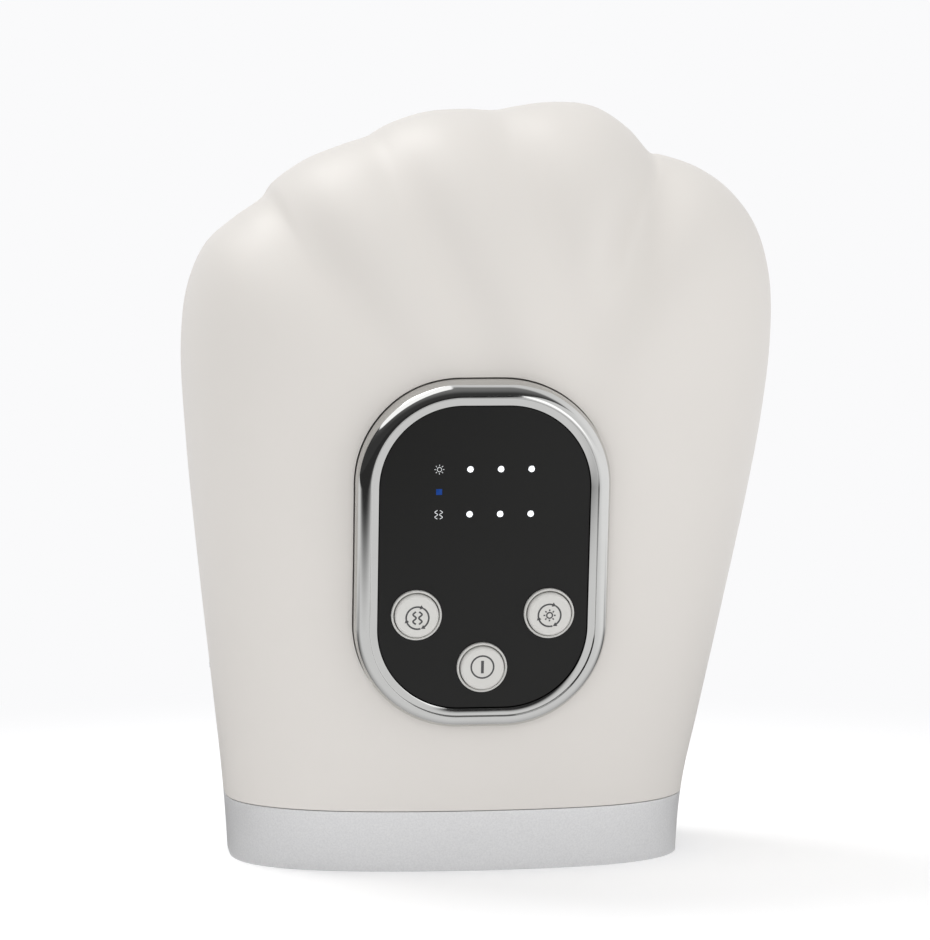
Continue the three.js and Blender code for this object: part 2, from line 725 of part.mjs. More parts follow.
function makeLightGuides() {
  const top = -plateThickness - seatGap;
  const rows = lightRowShares.map((row) => row * bezelLength);
  const left = lightColumnShares[0] * bezelWidth - lightBar / 2;
  const right = lightColumnShares[2] * bezelWidth + lightBar / 2;
  const bars = rows.map((y) => boxSolid(
    [left, y - lightBar / 2, top - lightBarThickness],
    [right, y + lightBar / 2, top],
  ));
  const web = boxSolid([left, rows[0], top - lightBarThickness], [left + lightBar, rows[1], top]);
  const pins = whiteLights.map((place) => pinAt(place, top - lightBarThickness / 2));
  addSolid(panelGroup, 'light_guide', joined([...bars, web, ...pins]), clearLight);
  const { x, y } = blueLightPlace;
  const base = boxSolid(
    [x - lightBar / 2, y - lightBar / 2, top - lightBarThickness],
    [x + lightBar / 2, y + lightBar / 2, top],
  );
  const half = blueLightWidth / 2;
  const bluePin = boxSolid([x - half, y - half, top - lightBarThickness / 2], [x + half, y + half, 0]);
  addSolid(panelGroup, 'blue_light_guide', joined([base, bluePin]), blueLight);
}

// Push buttons: collar fixed in the plate, cap with a stem, and the board switch under it
const collarBack = -plateThickness - seatGap - collarFlangeThickness;
const capRadius = collarRadius - collarWall - seatGap;
const capFlangeTop = collarBack - seatGap;
const capFlangeBottom = capFlangeTop - capFlangeThickness;
const plungerTop = -controlBoardDrop + seatGap + switchHeight + plungerProud;
const stemBottom = plungerTop + seatGap;
const plungerBottom = -controlBoardDrop + seatGap * 2 + buttonTravel;

function makeButton({ name, x, y }) {
  const place = (mesh) => mesh.position.set(x, y, 0);
  const inner = collarRadius - collarWall;
  const outer = collarRadius + collarFlange;
  const flangeTop = -plateThickness - seatGap;
  place(addMesh(panelGroup, `${name}_button_collar`, turned([
    [inner, collarBack], [outer, collarBack], [outer, flangeTop], [collarRadius, flangeTop],
    [collarRadius, collarProud - collarWall / 2], [collarRadius - collarWall / 2, collarProud],
    [inner, collarProud - collarWall / 2], [inner, collarBack],
  ], roundSteps), greyPlastic));
  place(addMesh(panelGroup, `${name}_button`, turned([
    [0, stemBottom], [stemRadius, stemBottom], [stemRadius, capFlangeBottom],
    [capRadius + capFlange, capFlangeBottom], [capRadius + capFlange, capFlangeTop],
    [capRadius, capFlangeTop], [capRadius, capProud - capFillet],
    [capRadius - capFillet * filletShare, capProud - capFillet * filletShare],
    [capRadius - capFillet, capProud],
    [0, capProud],
  ], roundSteps), capPlastic));
  const half = switchWidth / 2;
  const square = [[-half, -half], [half, -half], [half, half], [-half, half]];
  const loop = square.map(([px, py]) => new THREE.Vector2(px, py));
  const bore = circleHole(0, 0, plungerRadius + seatGap, smallSteps);
  const base = -controlBoardDrop + seatGap;
  place(addMesh(panelGroup, `${name}_switch`, plateFrom(loop, base, base + switchHeight, [bore]), blackPlastic));
  place(addMesh(panelGroup, `${name}_switch_plunger`, turned([
    [0, plungerBottom], [plungerRadius, plungerBottom], [plungerRadius, plungerTop], [0, plungerTop],
  ], smallSteps), greyPlastic));
}

// Places of the bay's equipment
const carrierTopZ = panelHeight + (bezelLength / 2 + carrierFlange) * Math.cos(panelTilt)
  + carrierDepth * Math.sin(panelTilt);
const pumpZ = carrierTopZ + bayGap + pumpRadius;
const pumpY = bayY - cradleThickness - pumpRadius;
const manifoldZ = pumpZ + pumpRadius + bayGap + manifoldDepth / 2;
const manifoldY = bayY - manifoldDepth / 2;
const trayWidth = 2 * cellWidth + 3 * trayWall + 4 * seatGap;
const trayLength = cellLength + 2 * trayWall + 2 * seatGap;
const trayTopZ = panelHeight + bezelLength / 2;
const trayBottomZ = trayTopZ - trayLength;
const mainBoardY = bayY - standoffRise;
const mainBoardFrontY = mainBoardY - boardThickness;
const leadHoleZ = socketHeight + chargeBoardLength / 2 + leadRadius * 5;
const leadSideX = outlineX(leadHoleZ, -1) + wall + leadRadius * 3;
const leadHoleX = leadSideX + leadRadius * 8;
const palmNippleX = panelX - trayWidth / 2 - bayGap * 4;
const palmNippleZ = bagSplit - bagSpacing;
const motorEndX = pumpX - seatGap / 2;
const motorStartX = motorEndX - motorLength;
const palmTubeX = motorStartX - tubeWay / 2;
const manifoldX = pumpX - manifoldOffset;
const fingerTubeX = manifoldX - manifoldWidth / 4;
const backTubeX = manifoldX + manifoldWidth / 4;
const tubeHoleZ = handTop + linerWall + tubeRadius * 2;
const nippleOut = nippleLength + seatGap;

// Deck: plate that closes the hand chamber and carries the bay's equipment
function makeDeck() {
  const plate = clearLining.intersect(slab(deckFrontY, deckBackY, spigotTop + seatGap, bodyHeight));
  const bossHoles = bossPlaces.map(({ x, z }) => rodY(x, z, -overrun, 0, bossRadius + seatGap));
  const tubeHole = (x, z, radius) => rodY(x, z, deckFrontY - overrun, 0, radius + tubeHoleGap);
  const holes = [
    tubeHole(palmNippleX, palmNippleZ, nippleRadius),
    tubeHole(fingerTubeX, tubeHoleZ, tubeRadius),
    tubeHole(backTubeX, tubeHoleZ, tubeRadius),
    tubeHole(leadHoleX, leadHoleZ, leadRadius),
  ];
  const standoffs = boardCorners(mainBoardWidth, mainBoardLength, standoffRadius * 2).map(([x, z]) => (
    rodY(panelX + x, mainBoardHeight + z, mainBoardY + seatGap, deckBackY, standoffRadius)
  ));
  addSolid(massager, 'deck_plate', joined([without(plate, [...bossHoles, ...holes]), ...standoffs]), whitePlastic);
}

function boardCorners(width, length, margin) {
  const x = width / 2 - margin;
  const z = length / 2 - margin;
  return [[-x, -z], [x, -z], [-x, z], [x, z]];
}

// Main board with its chips and connectors
function makeMainBoard() {
  const left = panelX - mainBoardWidth / 2;
  const low = mainBoardHeight - mainBoardLength / 2;
  const board = boxSolid(
    [left, mainBoardFrontY, low],
    [left + mainBoardWidth, mainBoardY, low + mainBoardLength],
  );
  const onBoard = (x, z, width, length, height) => boxSolid(
    [panelX + x - width / 2, mainBoardFrontY - height, mainBoardHeight + z - length / 2],
    [panelX + x + width / 2, mainBoardFrontY + boardThickness / 2, mainBoardHeight + z + length / 2],
  );
  const parts = [
    onBoard(-mainBoardWidth / 5, -mainBoardLength / 5, chipSize, chipSize, chipHeight),
    onBoard(mainBoardWidth / 5, -mainBoardLength / 4, chipSize, chipSize / 2, chipHeight),
    onBoard(mainBoardWidth / 3, mainBoardLength / 5, chipSize / 2, chipSize, connectorHeight),
  ];
  addSolid(massager, 'main_board', joined([board, ...parts]), boardGreen);
}

// Battery: two flat cells in a tray
function makeBattery() {
  const x0 = panelX - trayWidth / 2;
  const floorY = bayY - trayWall;
  const tray = boxSolid([x0, bayY - trayRise, trayBottomZ], [x0 + trayWidth, bayY, trayTopZ]);
  const cellX = (k) => x0 + trayWall + seatGap + k * (cellWidth + trayWall + 2 * seatGap);
  const cellZ = trayBottomZ + trayWall + seatGap;
  const pockets = [0, 1].map((k) => boxSolid(
    [cellX(k) - seatGap, bayY - trayRise - overrun, cellZ - seatGap],
    [cellX(k) + cellWidth + seatGap, floorY, cellZ + cellLength + seatGap],
  ));
  addSolid(massager, 'battery_tray', without(tray, pockets), blackPlastic);
  [0, 1].forEach((k) => {
    const cell = boxSolid(
      [cellX(k), floorY - seatGap - cellDepth, cellZ],
      [cellX(k) + cellWidth, floorY - seatGap, cellZ + cellLength],
    );
    addSolid(massager, `battery_cell_${k + 1}`, cell, cellFoil);
  });
}

// Air pump: motor, hollow head with the turning eccentric, and a rubber cradle
const headStartX = pumpX + seatGap / 2;
const headEndX = headStartX + pumpLength;
const eccentricX = headStartX + motorBossLength + bayGap;

function makePump() {
  const motor = joined([
    rodX(motorStartX, motorEndX, pumpY, pumpZ, motorRadius, roundSteps),
    rodX(motorEndX - seatGap, motorEndX + motorBossLength, pumpY, pumpZ, motorBoss),
  ]).subtract(rodX(motorEndX - motorLength / 3, motorEndX + overrun, pumpY, pumpZ, shaftRadius + seatGap));
  addSolid(massager, 'pump_motor', motor, steel);
  const hollow = rodX(headStartX - overrun, headEndX - pumpWall, pumpY, pumpZ, pumpRadius - pumpWall, roundSteps);
  const head = joined([
    rodX(headStartX, headEndX, pumpY, pumpZ, pumpRadius, roundSteps).subtract(hollow),
    rodX(headEndX - pumpWall / 2, headEndX + nozzleLength, pumpY, pumpZ, nozzleRadius),
  ]);
  addSolid(massager, 'pump_head', head, blackPlastic);
  const rotor = joined([
    rodX(motorEndX - motorLength / 3 + seatGap, eccentricX + eccentricThickness, pumpY, pumpZ, shaftRadius),
    rodX(eccentricX, eccentricX + eccentricThickness, pumpY, pumpZ - eccentricOffset, eccentricRadius, roundSteps),
  ]);
  addSolid(massager, 'pump_eccentric', rotor, whitePlastic);
  const saddle = rodX(headStartX, headStartX + cradleWidth, pumpY, pumpZ, pumpRadius + cradleThickness, roundSteps);
  const block = boxSolid(
    [headStartX, bayY - cradleWrap - cradleThickness, pumpZ - pumpRadius - cradleThickness],
    [headStartX + cradleWidth, bayY, pumpZ + pumpRadius + cradleThickness],
  );
  const bed = rodX(headStartX - overrun, headEndX, pumpY, pumpZ, pumpRadius + seatGap, roundSteps);
  addSolid(massager, 'pump_cradle', block.intersect(saddle.add(block)).subtract(bed), rubberGrey);
}

// Two solenoid valves, each a yoke with a sliding plunger and a spout at its closed end
function makeValve(k) {
  const x = motorStartX - tubeWay - valveWidth / 2 - k * (valveWidth + valveGap);
  const z0 = pumpZ - valveLength / 2;
  const z1 = z0 + valveLength;
  const y = bayY - valveWidth / 2;
  const half = valveWidth / 2;
  const boreRadius = half - valveWall;
  const yoke = joined([
    boxSolid([x - half, y - half, z0], [x + half, y + half, z1])
      .subtract(rodZ(x, y, z0 - overrun, z1 - valveWall, boreRadius)),
    rodZ(x, y, z1 - valveWall / 2, z1 + valveSpout, barbRadius),
  ]);
  addSolid(massager, `valve_yoke_${k + 1}`, yoke, steel);
  const top = z1 - valveWall - seatGap - valveTravel;
  const plunger = rodZ(x, y, top - valvePlungerLength, top, boreRadius - seatGap);
  addSolid(massager, `valve_plunger_${k + 1}`, plunger, copperTone);
}

// Air manifold: a barb at each end and two on top
function makeManifold() {
  const x0 = manifoldX - manifoldWidth / 2;
  const half = manifoldDepth / 2;
  const barbs = [fingerTubeX, backTubeX].map((x) => (
    rodZ(x, manifoldY, manifoldZ, manifoldZ + half + barbLength, barbRadius)
  ));
  const through = rodX(x0 - barbLength, x0 + manifoldWidth + barbLength, manifoldY, manifoldZ, barbRadius);
  const block = boxSolid(
    [x0, manifoldY - half, manifoldZ - half],
    [x0 + manifoldWidth, manifoldY + half, manifoldZ + half],
  );
  addSolid(massager, 'air_manifold', joined([block, through, ...barbs]), whitePlastic);
}

// Air tubes from barb to nipple
const outletZ = manifoldZ + manifoldDepth / 2 + barbLength + seatGap;
const bagY = (upperBagFrontY + upperBagBackY) / 2;
const lowerBagY = (lowerBagFrontY + lowerBagBackY) / 2;

function makeTubes() {
  const inletX = manifoldX + manifoldWidth / 2 + barbLength + seatGap;
  const palmStartX = manifoldX - manifoldWidth / 2 - barbLength - seatGap;
  const nozzleX = headEndX + nozzleLength + seatGap;
  const swing = tubeRadius * 4;
  const straight = tubeRadius;
  const route = (name, points, steps) => (
    addSolid(massager, name, tubeAlong(points, tubeRadius, steps), rubberGrey)
  );
  route('pump_tube', [
    [nozzleX, pumpY, pumpZ],
    [nozzleX + straight, pumpY, pumpZ],
    [nozzleX + swing, (pumpY + manifoldY) / 2, (pumpZ + manifoldZ) / 2],
    [nozzleX + straight, manifoldY, manifoldZ],
    [inletX + straight, manifoldY, manifoldZ],
    [inletX, manifoldY, manifoldZ],
  ], tubeSteps.pump);
  route('finger_bag_tube', [
    [fingerTubeX, manifoldY, outletZ],
    [fingerTubeX, manifoldY, outletZ + straight / 2],
    [fingerTubeX, deckFrontY - straight, tubeHoleZ],
    [fingerTubeX, deckFrontY, tubeHoleZ],
    [fingerTubeX, deckBackY, tubeHoleZ],
    [fingerTubeX, bagY, bagTop + nippleOut + straight / 2],
    [fingerTubeX, bagY, bagTop + nippleOut],
  ], tubeSteps.finger);
  route('back_bag_tube', [
    [backTubeX, manifoldY, outletZ],
    [backTubeX, manifoldY, outletZ + straight / 2],
    [backTubeX, deckFrontY - straight, tubeHoleZ],
    [backTubeX, deckFrontY, tubeHoleZ],
    [backTubeX, deckBackY + tubeRadius, tubeHoleZ],
    [backTubeX, 0, tubeHoleZ],
    [backTubeX, handBack - tubeRadius, tubeHoleZ],
    [backTubeX, linerBackY + tubeRadius * 0.7, tubeHoleZ - tubeRadius * 1.2],
    [backTubeX, linerBackY + tubeRadius * 1.6, handTop],
    [backTubeX, lowerBagY, lowerBagTop + nippleOut + straight * 2],
    [backTubeX, lowerBagY, lowerBagTop + nippleOut],
  ], tubeSteps.back);
  const frontY = bayY - nippleLength - seatGap;
  route('palm_bag_tube', [
    [palmStartX, manifoldY, manifoldZ],
    [palmStartX - straight, manifoldY, manifoldZ],
    [palmTubeX, manifoldY - straight, manifoldZ - swing],
    [palmTubeX, manifoldY - straight, carrierTopZ + tubeRadius],
    [(palmTubeX + palmNippleX) / 2, manifoldY - straight * 2, carrierTopZ - tubeRadius],
    [palmNippleX, frontY - swing, palmNippleZ + swing],
    [palmNippleX, frontY - straight, palmNippleZ],
    [palmNippleX, frontY, palmNippleZ],
  ], tubeSteps.palm);
}

// Soft layers: air bags, liner pocket and heating pad, cut to the housing's own outline
function makeSoftLayers() {
  const bagSkin = mittenSolid(bagInset, softRows, wall + seatGap);
  const layer = (y0, y1, z0, z1) => bagSkin.intersect(slab(y0, y1, z0, z1));
  const palm = layer(upperBagFrontY, upperBagBackY, softStart, bagSplit - bagSpacing / 2);
  const palmNipple = rodY(palmNippleX, palmNippleZ, bayY - nippleLength, bagY, nippleRadius);
  addSolid(massager, 'palm_air_bag', palm.add(palmNipple), bagFilm);
  const fingers = layer(upperBagFrontY, upperBagBackY, bagSplit + bagSpacing / 2, bagTop);
  const fingerNipple = rodZ(fingerTubeX, bagY, bagTop - nippleLength, bagTop + nippleLength, nippleRadius);
  addSolid(massager, 'finger_air_bag', fingers.add(fingerNipple), bagFilm);
  const lower = layer(lowerBagFrontY, lowerBagBackY, softStart, lowerBagTop);
  const end = lowerBagTop + nippleLength;
  const lowerNipple = rodZ(backTubeX, lowerBagY, lowerBagTop - nippleLength, end, nippleRadius);
  addSolid(massager, 'back_air_bag', lower.add(lowerNipple), bagFilm);
  const pad = layer(padFrontY, padFrontY + heatPadThickness, softStart, lowerBagTop);
  addSolid(massager, 'heating_pad', pad, padFoil);
}

function makeLiner() {
  const start = throatHeight + throatThickness + seatGap;
  const outer = mittenSolid(handInset - linerWall, softRows, wall + seatGap)
    .intersect(slab(linerFrontY, linerBackY, start, handTop + linerWall));
  const inner = mittenSolid(handInset, softRows, wall + linerWall)
    .intersect(slab(-handFront, handBack, -overrun, handTop));
  const sleeve = mouthPrism(throatThickness + seatGap, -overrun, cuffHeight - spigotDrop + seatGap);
  addSolid(massager, 'chamber_liner', outer.subtract(inner).subtract(sleeve), linerCloth);
}

// Light strip between the palm bag and the finger bag
function makeLightStrip() {
  const strip = boxSolid(
    [panelX - lightStripWidth / 2, deckBackY + seatGap, bagSplit - lightStripHeight / 2],
    [panelX + lightStripWidth / 2, deckBackY + seatGap + lightStripThickness, bagSplit + lightStripHeight / 2],
  );
  addSolid(massager, 'light_strip', strip, clearLight);
}

// Flat cable from the control board's back, through the carrier's slot, to the main board
function makeRibbon() {
  const start = new THREE.Vector3(0, ribbonSlotY, boardBack - seatGap).applyMatrix4(panelGroup.matrix);
  const endY = mainBoardFrontY - seatGap;
  const half = ribbonThickness / 2;
  const middle = (start.y + endY) / 2;
  const shape = new THREE.Shape([
    new THREE.Vector2(start.y, start.z - half), new THREE.Vector2(middle, start.z - half),
    new THREE.Vector2(endY, start.z - half), new THREE.Vector2(endY, start.z + half),
    new THREE.Vector2(middle, start.z + half), new THREE.Vector2(start.y, start.z + half),
  ]);
  const ribbon = new THREE.ExtrudeGeometry(shape, { depth: ribbonWidth, bevelEnabled: false });
  ribbon.applyMatrix4(new THREE.Matrix4().set(0, 0, 1, panelX - ribbonWidth / 2, 1, 0, 0, 0, 0, 1, 0, 0, 0, 0, 0, 1));
  addSolid(massager, 'ribbon_cable', solidOf(ribbon), blackPlastic);
}

// Leads from the battery and the charging board
function makeLeads() {
  const boardTop = mainBoardHeight + mainBoardLength / 2;
  const y = mainBoardFrontY - leadRadius - seatGap;
  addSolid(massager, 'battery_lead', tubeAlong([
    [panelX, bayY - trayRise / 2, trayBottomZ - seatGap],
    [panelX, bayY - trayRise / 2, trayBottomZ - seatGap * 3],
    [panelX, y, boardTop],
    [panelX, y, boardTop - standoffRadius],
  ], leadRadius, tubeSteps.battery), copperTone);
  const boardLeft = panelX - mainBoardWidth / 2;
  const boardTopEnd = socketHeight + chargeBoardLength / 2;
  const x = chargeBoardX + chargeBoardWidth / 2;
  addSolid(massager, 'charge_lead', tubeAlong([
    [x, chargeBoardY + chargeBoardThickness / 2, boardTopEnd + seatGap],
    [x, chargeBoardY + chargeBoardThickness / 2, boardTopEnd + seatGap + leadRadius],
    [leadSideX, 0, leadHoleZ],
    [leadSideX + leadRadius, -handFront / 2, leadHoleZ],
    [(leadSideX + leadHoleX) / 2, -handFront - leadRadius * 2, leadHoleZ],
    [leadHoleX, deckBackY, leadHoleZ],
    [leadHoleX, deckFrontY, leadHoleZ],
    [(leadHoleX + boardLeft) / 2, y - leadRadius, leadHoleZ],
    [boardLeft + standoffRadius, y, leadHoleZ],
  ], leadRadius, tubeSteps.charge), copperTone);
}

// Charging socket shell and its board
function makeChargeSocket() {
  const end = socketMouthX + socketLength;
  const shell = socketPrism(0, socketMouthX, end)
    .subtract(socketPrism(-socketWall, socketMouthX - overrun, end - socketWall));
  addSolid(massager, 'charge_socket', shell, steel);
  const board = boxSolid(
    [chargeBoardX, chargeBoardY, socketHeight - chargeBoardLength / 2],
    [chargeBoardX + chargeBoardWidth, chargeBoardY + chargeBoardThickness, socketHeight + chargeBoardLength / 2],
  );
  addSolid(massager, 'charge_board', board, boardGreen);
}

// Case screws and feet
function makeScrewsAndFeet() {
  const screwProfile = [
    [0, -screwReach], [screwShankRadius, -screwReach], [screwShankRadius, screwSeat + seatGap],
    [screwHeadRadius, screwSeat + seatGap], [screwHeadRadius, screwSeat + seatGap + screwHeadHeight],
    [0, screwSeat + seatGap + screwHeadHeight],
  ];
  bossPlaces.forEach(({ x, z }, k) => {
    const screw = addMesh(massager, `case_screw_${k + 1}`, turned(screwProfile, smallSteps), steel);
    screw.rotation.x = -Math.PI / 2;
    screw.position.set(x, 0, z);
  });
  feet.forEach(({ x, z }, k) => {
    const soft = footStand / 4;
    const foot = addMesh(massager, `rubber_foot_${k + 1}`, turned([
      [0, footSeatY], [footRadius, footSeatY], [footRadius, footEndY - soft],
      [footRadius - soft, footEndY], [0, footEndY],
    ], roundSteps), rubberGrey);
    foot.rotation.x = -Math.PI / 2;
    foot.position.set(x, 0, z);
  });
}

makeFrontShell();
makeBackShell();
makeCuffRing();
makeThroatCollar();
makeBezel();
makePlate();
makeCarrier();
makeControlBoard();
makeLightGuides();
buttons.forEach(makeButton);
makeDeck();
makeMainBoard();
makeBattery();
makePump();
[0, 1].forEach(makeValve);
makeManifold();
makeTubes();
makeSoftLayers();
makeLiner();
makeLightStrip();
makeRibbon();
makeLeads();
makeChargeSocket();
makeScrewsAndFeet();

// The origin is under the middle of the whole object, on the plane that its cuff stands on.
massager.updateMatrixWorld(true);
const extent = new THREE.Box3().setFromObject(massager, true);
const middle = extent.getCenter(new THREE.Vector3());
const assembly = new THREE.Group();
massager.position.set(-middle.x, -middle.y, -extent.min.z);
assembly.add(massager);

export default assembly;
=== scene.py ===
import functools
import json
from math import copysign, cos, exp, floor, hypot, pi, radians, sin, sqrt, tau

import bmesh
import bpy
from mathutils import Matrix, Vector
from mathutils.bvhtree import BVHTree


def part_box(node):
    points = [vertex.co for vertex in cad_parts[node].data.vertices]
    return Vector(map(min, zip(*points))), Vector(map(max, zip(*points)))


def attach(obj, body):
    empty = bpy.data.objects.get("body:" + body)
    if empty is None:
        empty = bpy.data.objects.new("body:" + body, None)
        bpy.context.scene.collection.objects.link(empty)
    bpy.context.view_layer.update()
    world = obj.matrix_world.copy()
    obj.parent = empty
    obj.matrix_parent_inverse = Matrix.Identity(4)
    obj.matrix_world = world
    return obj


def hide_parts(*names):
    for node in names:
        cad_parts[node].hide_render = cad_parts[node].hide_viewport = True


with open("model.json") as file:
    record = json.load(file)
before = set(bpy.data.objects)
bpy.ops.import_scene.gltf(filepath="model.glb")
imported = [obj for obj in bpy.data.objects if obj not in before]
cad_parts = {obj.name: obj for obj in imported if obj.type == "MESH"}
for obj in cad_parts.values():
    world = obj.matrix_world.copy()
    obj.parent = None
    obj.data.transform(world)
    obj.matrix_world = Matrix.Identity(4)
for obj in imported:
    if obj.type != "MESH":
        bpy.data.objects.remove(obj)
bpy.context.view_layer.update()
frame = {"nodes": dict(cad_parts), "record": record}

# Sizes
MM = 0.001
WELD = 1e-4

BODY_WIDTH = 186.5
BODY_HEIGHT = 238
DEPTH_AT_CUFF = 44
DEPTH_AT_TIPS = 83
BACK_DEPTH = 46
WALL = 2.5
CROWN = Vector((2, 0, 70))
FRONT_POWER = 2.5
BACK_POWER = 4
GROOVE_WIDTH = 10
GROOVE_FADE = (-0.6, 0.5)  # along each valley, from its foot (0) to its notch in the outline (1)
LOBE_FADE = (0.5, 1)
CALM_REACH = 2.5  # outline points averaged on each side where the lobes have died away
SEAT_GAP = 0.3
CUFF_HEIGHT = 19.2
CUFF_TOP = CUFF_HEIGHT - SEAT_GAP / 2
SHELL_START = CUFF_HEIGHT + SEAT_GAP / 2
FAR = 400  # further than any side of the object

# The outline seen from the front, up the little finger side, over the lobes and down the thumb side:
# x and z in thousandths of the width and the height
OUTLINE = [
    (-381, 0), (-390, 99), (-408, 232), (-430, 391), (-449, 550), (-457, 681), (-445, 759),
    (-414, 813), (-364, 848), (-319, 873), (-303, 891), (-253, 920), (-189, 941), (-141, 954),
    (-114, 967), (-52, 984), (16, 989), (72, 988), (105, 993), (170, 999), (235, 994), (292, 967),
    (336, 933), (353, 931), (411, 916), (465, 888), (511, 842), (536, 778), (540, 698), (526, 592),
    (503, 489), (461, 331), (421, 186), (395, 90), (385, 0), (385, -250), (320, -550), (15, -630),
    (-306, -550), (-370, -250),
]
# Valleys between the fingers: the notch in the outline as shares, its depth, and the valley's foot in mm
VALLEYS = [
    (-0.319, 0.873, 0.105, (-30, 166)), (-0.141, 0.954, 0.09, (0, 168)),
    (0.072, 0.988, 0.08, (32, 168)), (0.345, 0.931, 0.14, (45, 176)),
]

PANEL_TILT = radians(8.5)
PANEL_X = 1.8
PANEL_Z = 98.1
BEZEL = (38.3, 52.85, 31.5)  # half width, half length, corner radius
BEZEL_BAND = 6.5
BEZEL_SKIRT = 13
SKIRT_WALL = 2.2
PLATE_DROP = 2
BOARD_DROP = 13  # the control board's back, below the panel's face
SWITCH_HEIGHT = 3.5
PLUNGER_PROUD = 1.3

BUTTONS = {"pressure": (-20.069, -17.229), "heat": (19.991, -17.123), "power": (0, -33.613)}
COLLAR_RADIUS = 7.6
COLLAR_WALL = 0.7
COLLAR_PROUD = 1
CAP_RADIUS = 6.6
CAP_PROUD = 2.2
CAP_FILLET = 0.9
INK_RISE = 0.04
INK_SINK = 0.005  # keeps a print's underside out of sight
SIGN_RING = 3.4  # radius of the ring round each cap's sign
LIGHTS = [(x, y) for y in (13.424, 27.059) for x in (-4.596, 4.596, 13.788)]
BLUE_LIGHT = (-13.865, 20.294)
LIGHT_RADIUS = 0.9
BLUE_HALF = 0.75  # half the side of the square blue lens
LENS_DEPTH = 1.8

AROUND = 8  # samples per outline point
SNUG = 0.9991  # keeps the smooth outline within the faceted one
FRONT_ROWS = 56
BACK_ROWS = 40
HALVINGS = 24  # of a turn, to find the opening's edge
ROUND = 96
SMALL_ROUND = 32
CORNER_STEPS = 40  # round each corner of the panel's ring

# The feet give where the maker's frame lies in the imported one.
FOOT_CENTRE_X = 2
FOOT_PROUD = 2.5
FOOT_END_Y = BACK_DEPTH + FOOT_PROUD
foot_boxes = [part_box(f"rubber_foot_{k}") for k in (1, 2)]
foot_middle = sum(low.x + high.x for low, high in foot_boxes) / 4
SHIFT = Vector((foot_middle / MM - FOOT_CENTRE_X, foot_boxes[0][1].y / MM - FOOT_END_Y, 0))
TO_FRAME = Matrix.Scale(MM, 4) @ Matrix.Translation(SHIFT)

plate_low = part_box("panel_plate")[0].y / MM - SHIFT.y
PANEL_Y = plate_low + (BEZEL[1] - BEZEL_BAND - SEAT_GAP) * sin(PANEL_TILT)
ON_PANEL = (Matrix.Translation((PANEL_X, PANEL_Y, PANEL_Z))
            @ Matrix.Rotation(pi / 2 + PANEL_TILT, 4, "X"))
OFF_PANEL = ON_PANEL.inverted()


# Finishes
def linear(hex_text):
    """sRGB hex to linear colour"""
    shares = [int(hex_text[i:i + 2], 16) / 255 for i in (1, 3, 5)]
    return [s / 12.92 if s <= 0.04045 else ((s + 0.055) / 1.055) ** 2.4 for s in shares] + [1]


def add_node(tree, kind, inputs=None, settings=None):
    """Adds one shader node; an input that is a socket is linked, any other is set"""
    made = tree.nodes.new(f"ShaderNode{kind}")
    for key, value in (settings or {}).items():
        setattr(made, key, value)
    for key, value in (inputs or {}).items():
        if isinstance(value, bpy.types.NodeSocket):
            tree.links.new(value, made.inputs[key])
        else:
            made.inputs[key].default_value = value
    return made


def new_material(name):
    material = bpy.data.materials.new(name)
    material.use_nodes = True
    tree = material.node_tree
    tree.nodes.clear()
    where = add_node(tree, "TexCoord").outputs["Object"]
    return material, tree, where


def finish_material(material, tree, shader_inputs):
    shader = add_node(tree, "BsdfPrincipled", shader_inputs)
    add_node(tree, "OutputMaterial", {"Surface": shader.outputs[0]})
    return material


def grained(name, colour, shade, patch_mm, roughness, spread, grain_mm, grain_height, metallic=0,
            extra=None):
    """Surface with broad drifts of colour, and a fine grain in its roughness and its height"""
    material, tree, where = new_material(name)
    drift = add_node(tree, "TexNoise", {"Vector": where, "Scale": 1 / (patch_mm * MM), "Detail": 3})
    tint = add_node(tree, "Mix", {0: drift.outputs["Fac"], 6: linear(colour), 7: linear(shade)},
                    {"data_type": "RGBA"})
    grain = add_node(tree, "TexNoise",
                     {"Vector": where, "Scale": 1 / (grain_mm * MM), "Detail": 4, "Roughness": 0.6})
    gloss = add_node(tree, "MapRange",
                     {"Value": grain.outputs["Fac"], "From Min": 0.3, "From Max": 0.7,
                      "To Min": roughness - spread, "To Max": roughness + spread})
    bump = add_node(tree, "Bump", {"Height": grain.outputs["Fac"], "Distance": grain_height * MM})
    values = {"Base Color": tint.outputs[2], "Roughness": gloss.outputs[0], "Normal": bump.outputs[0],
              "Metallic": metallic, **(extra or {})}
    return finish_material(material, tree, values)


# The fine grain of moulded, sprayed, printed and plated faces is about 0.1 mm or less. It is drawn at
# 0.15 to 0.5 mm so that it shows. Creases, embossing, polishing haze and weave keep their real size.

# Moulded ABS, spark-eroded tool: warm white, satin, an even fine grain that softens every highlight.
shell_abs = grained("moulded_abs_warm_white", "#dfdbd6", "#dbd7d2", 60, 0.48, 0.05, 0.45, 0.006, 0,
                     {"Specular IOR Level": 0.4})
# ABS sprayed with aluminium flake lacquer: soft metal sheen with single flakes catching the light.
silver_lacquer = grained("aluminium_flake_lacquer", "#eaeaea", "#d0d0d1", 0.55, 0.42, 0.1, 0.35, 0.014, 0.3,
                         {"Coat Weight": 0.1, "Coat Roughness": 0.35})
# Chrome plated ABS: mirror finish, hazed a little where it was polished.
chrome = grained("chrome_plated_abs", "#cacac8", "#c3c3c1", 12, 0.06, 0.02, 2.5, 0.0008, 1)
# Moulded black acrylic ABS blend, satin face.
panel_black = grained("moulded_black_acrylic", "#161615", "#131312", 25, 0.36, 0.05, 0.4, 0.004, 0,
                      {"Specular IOR Level": 0.25})
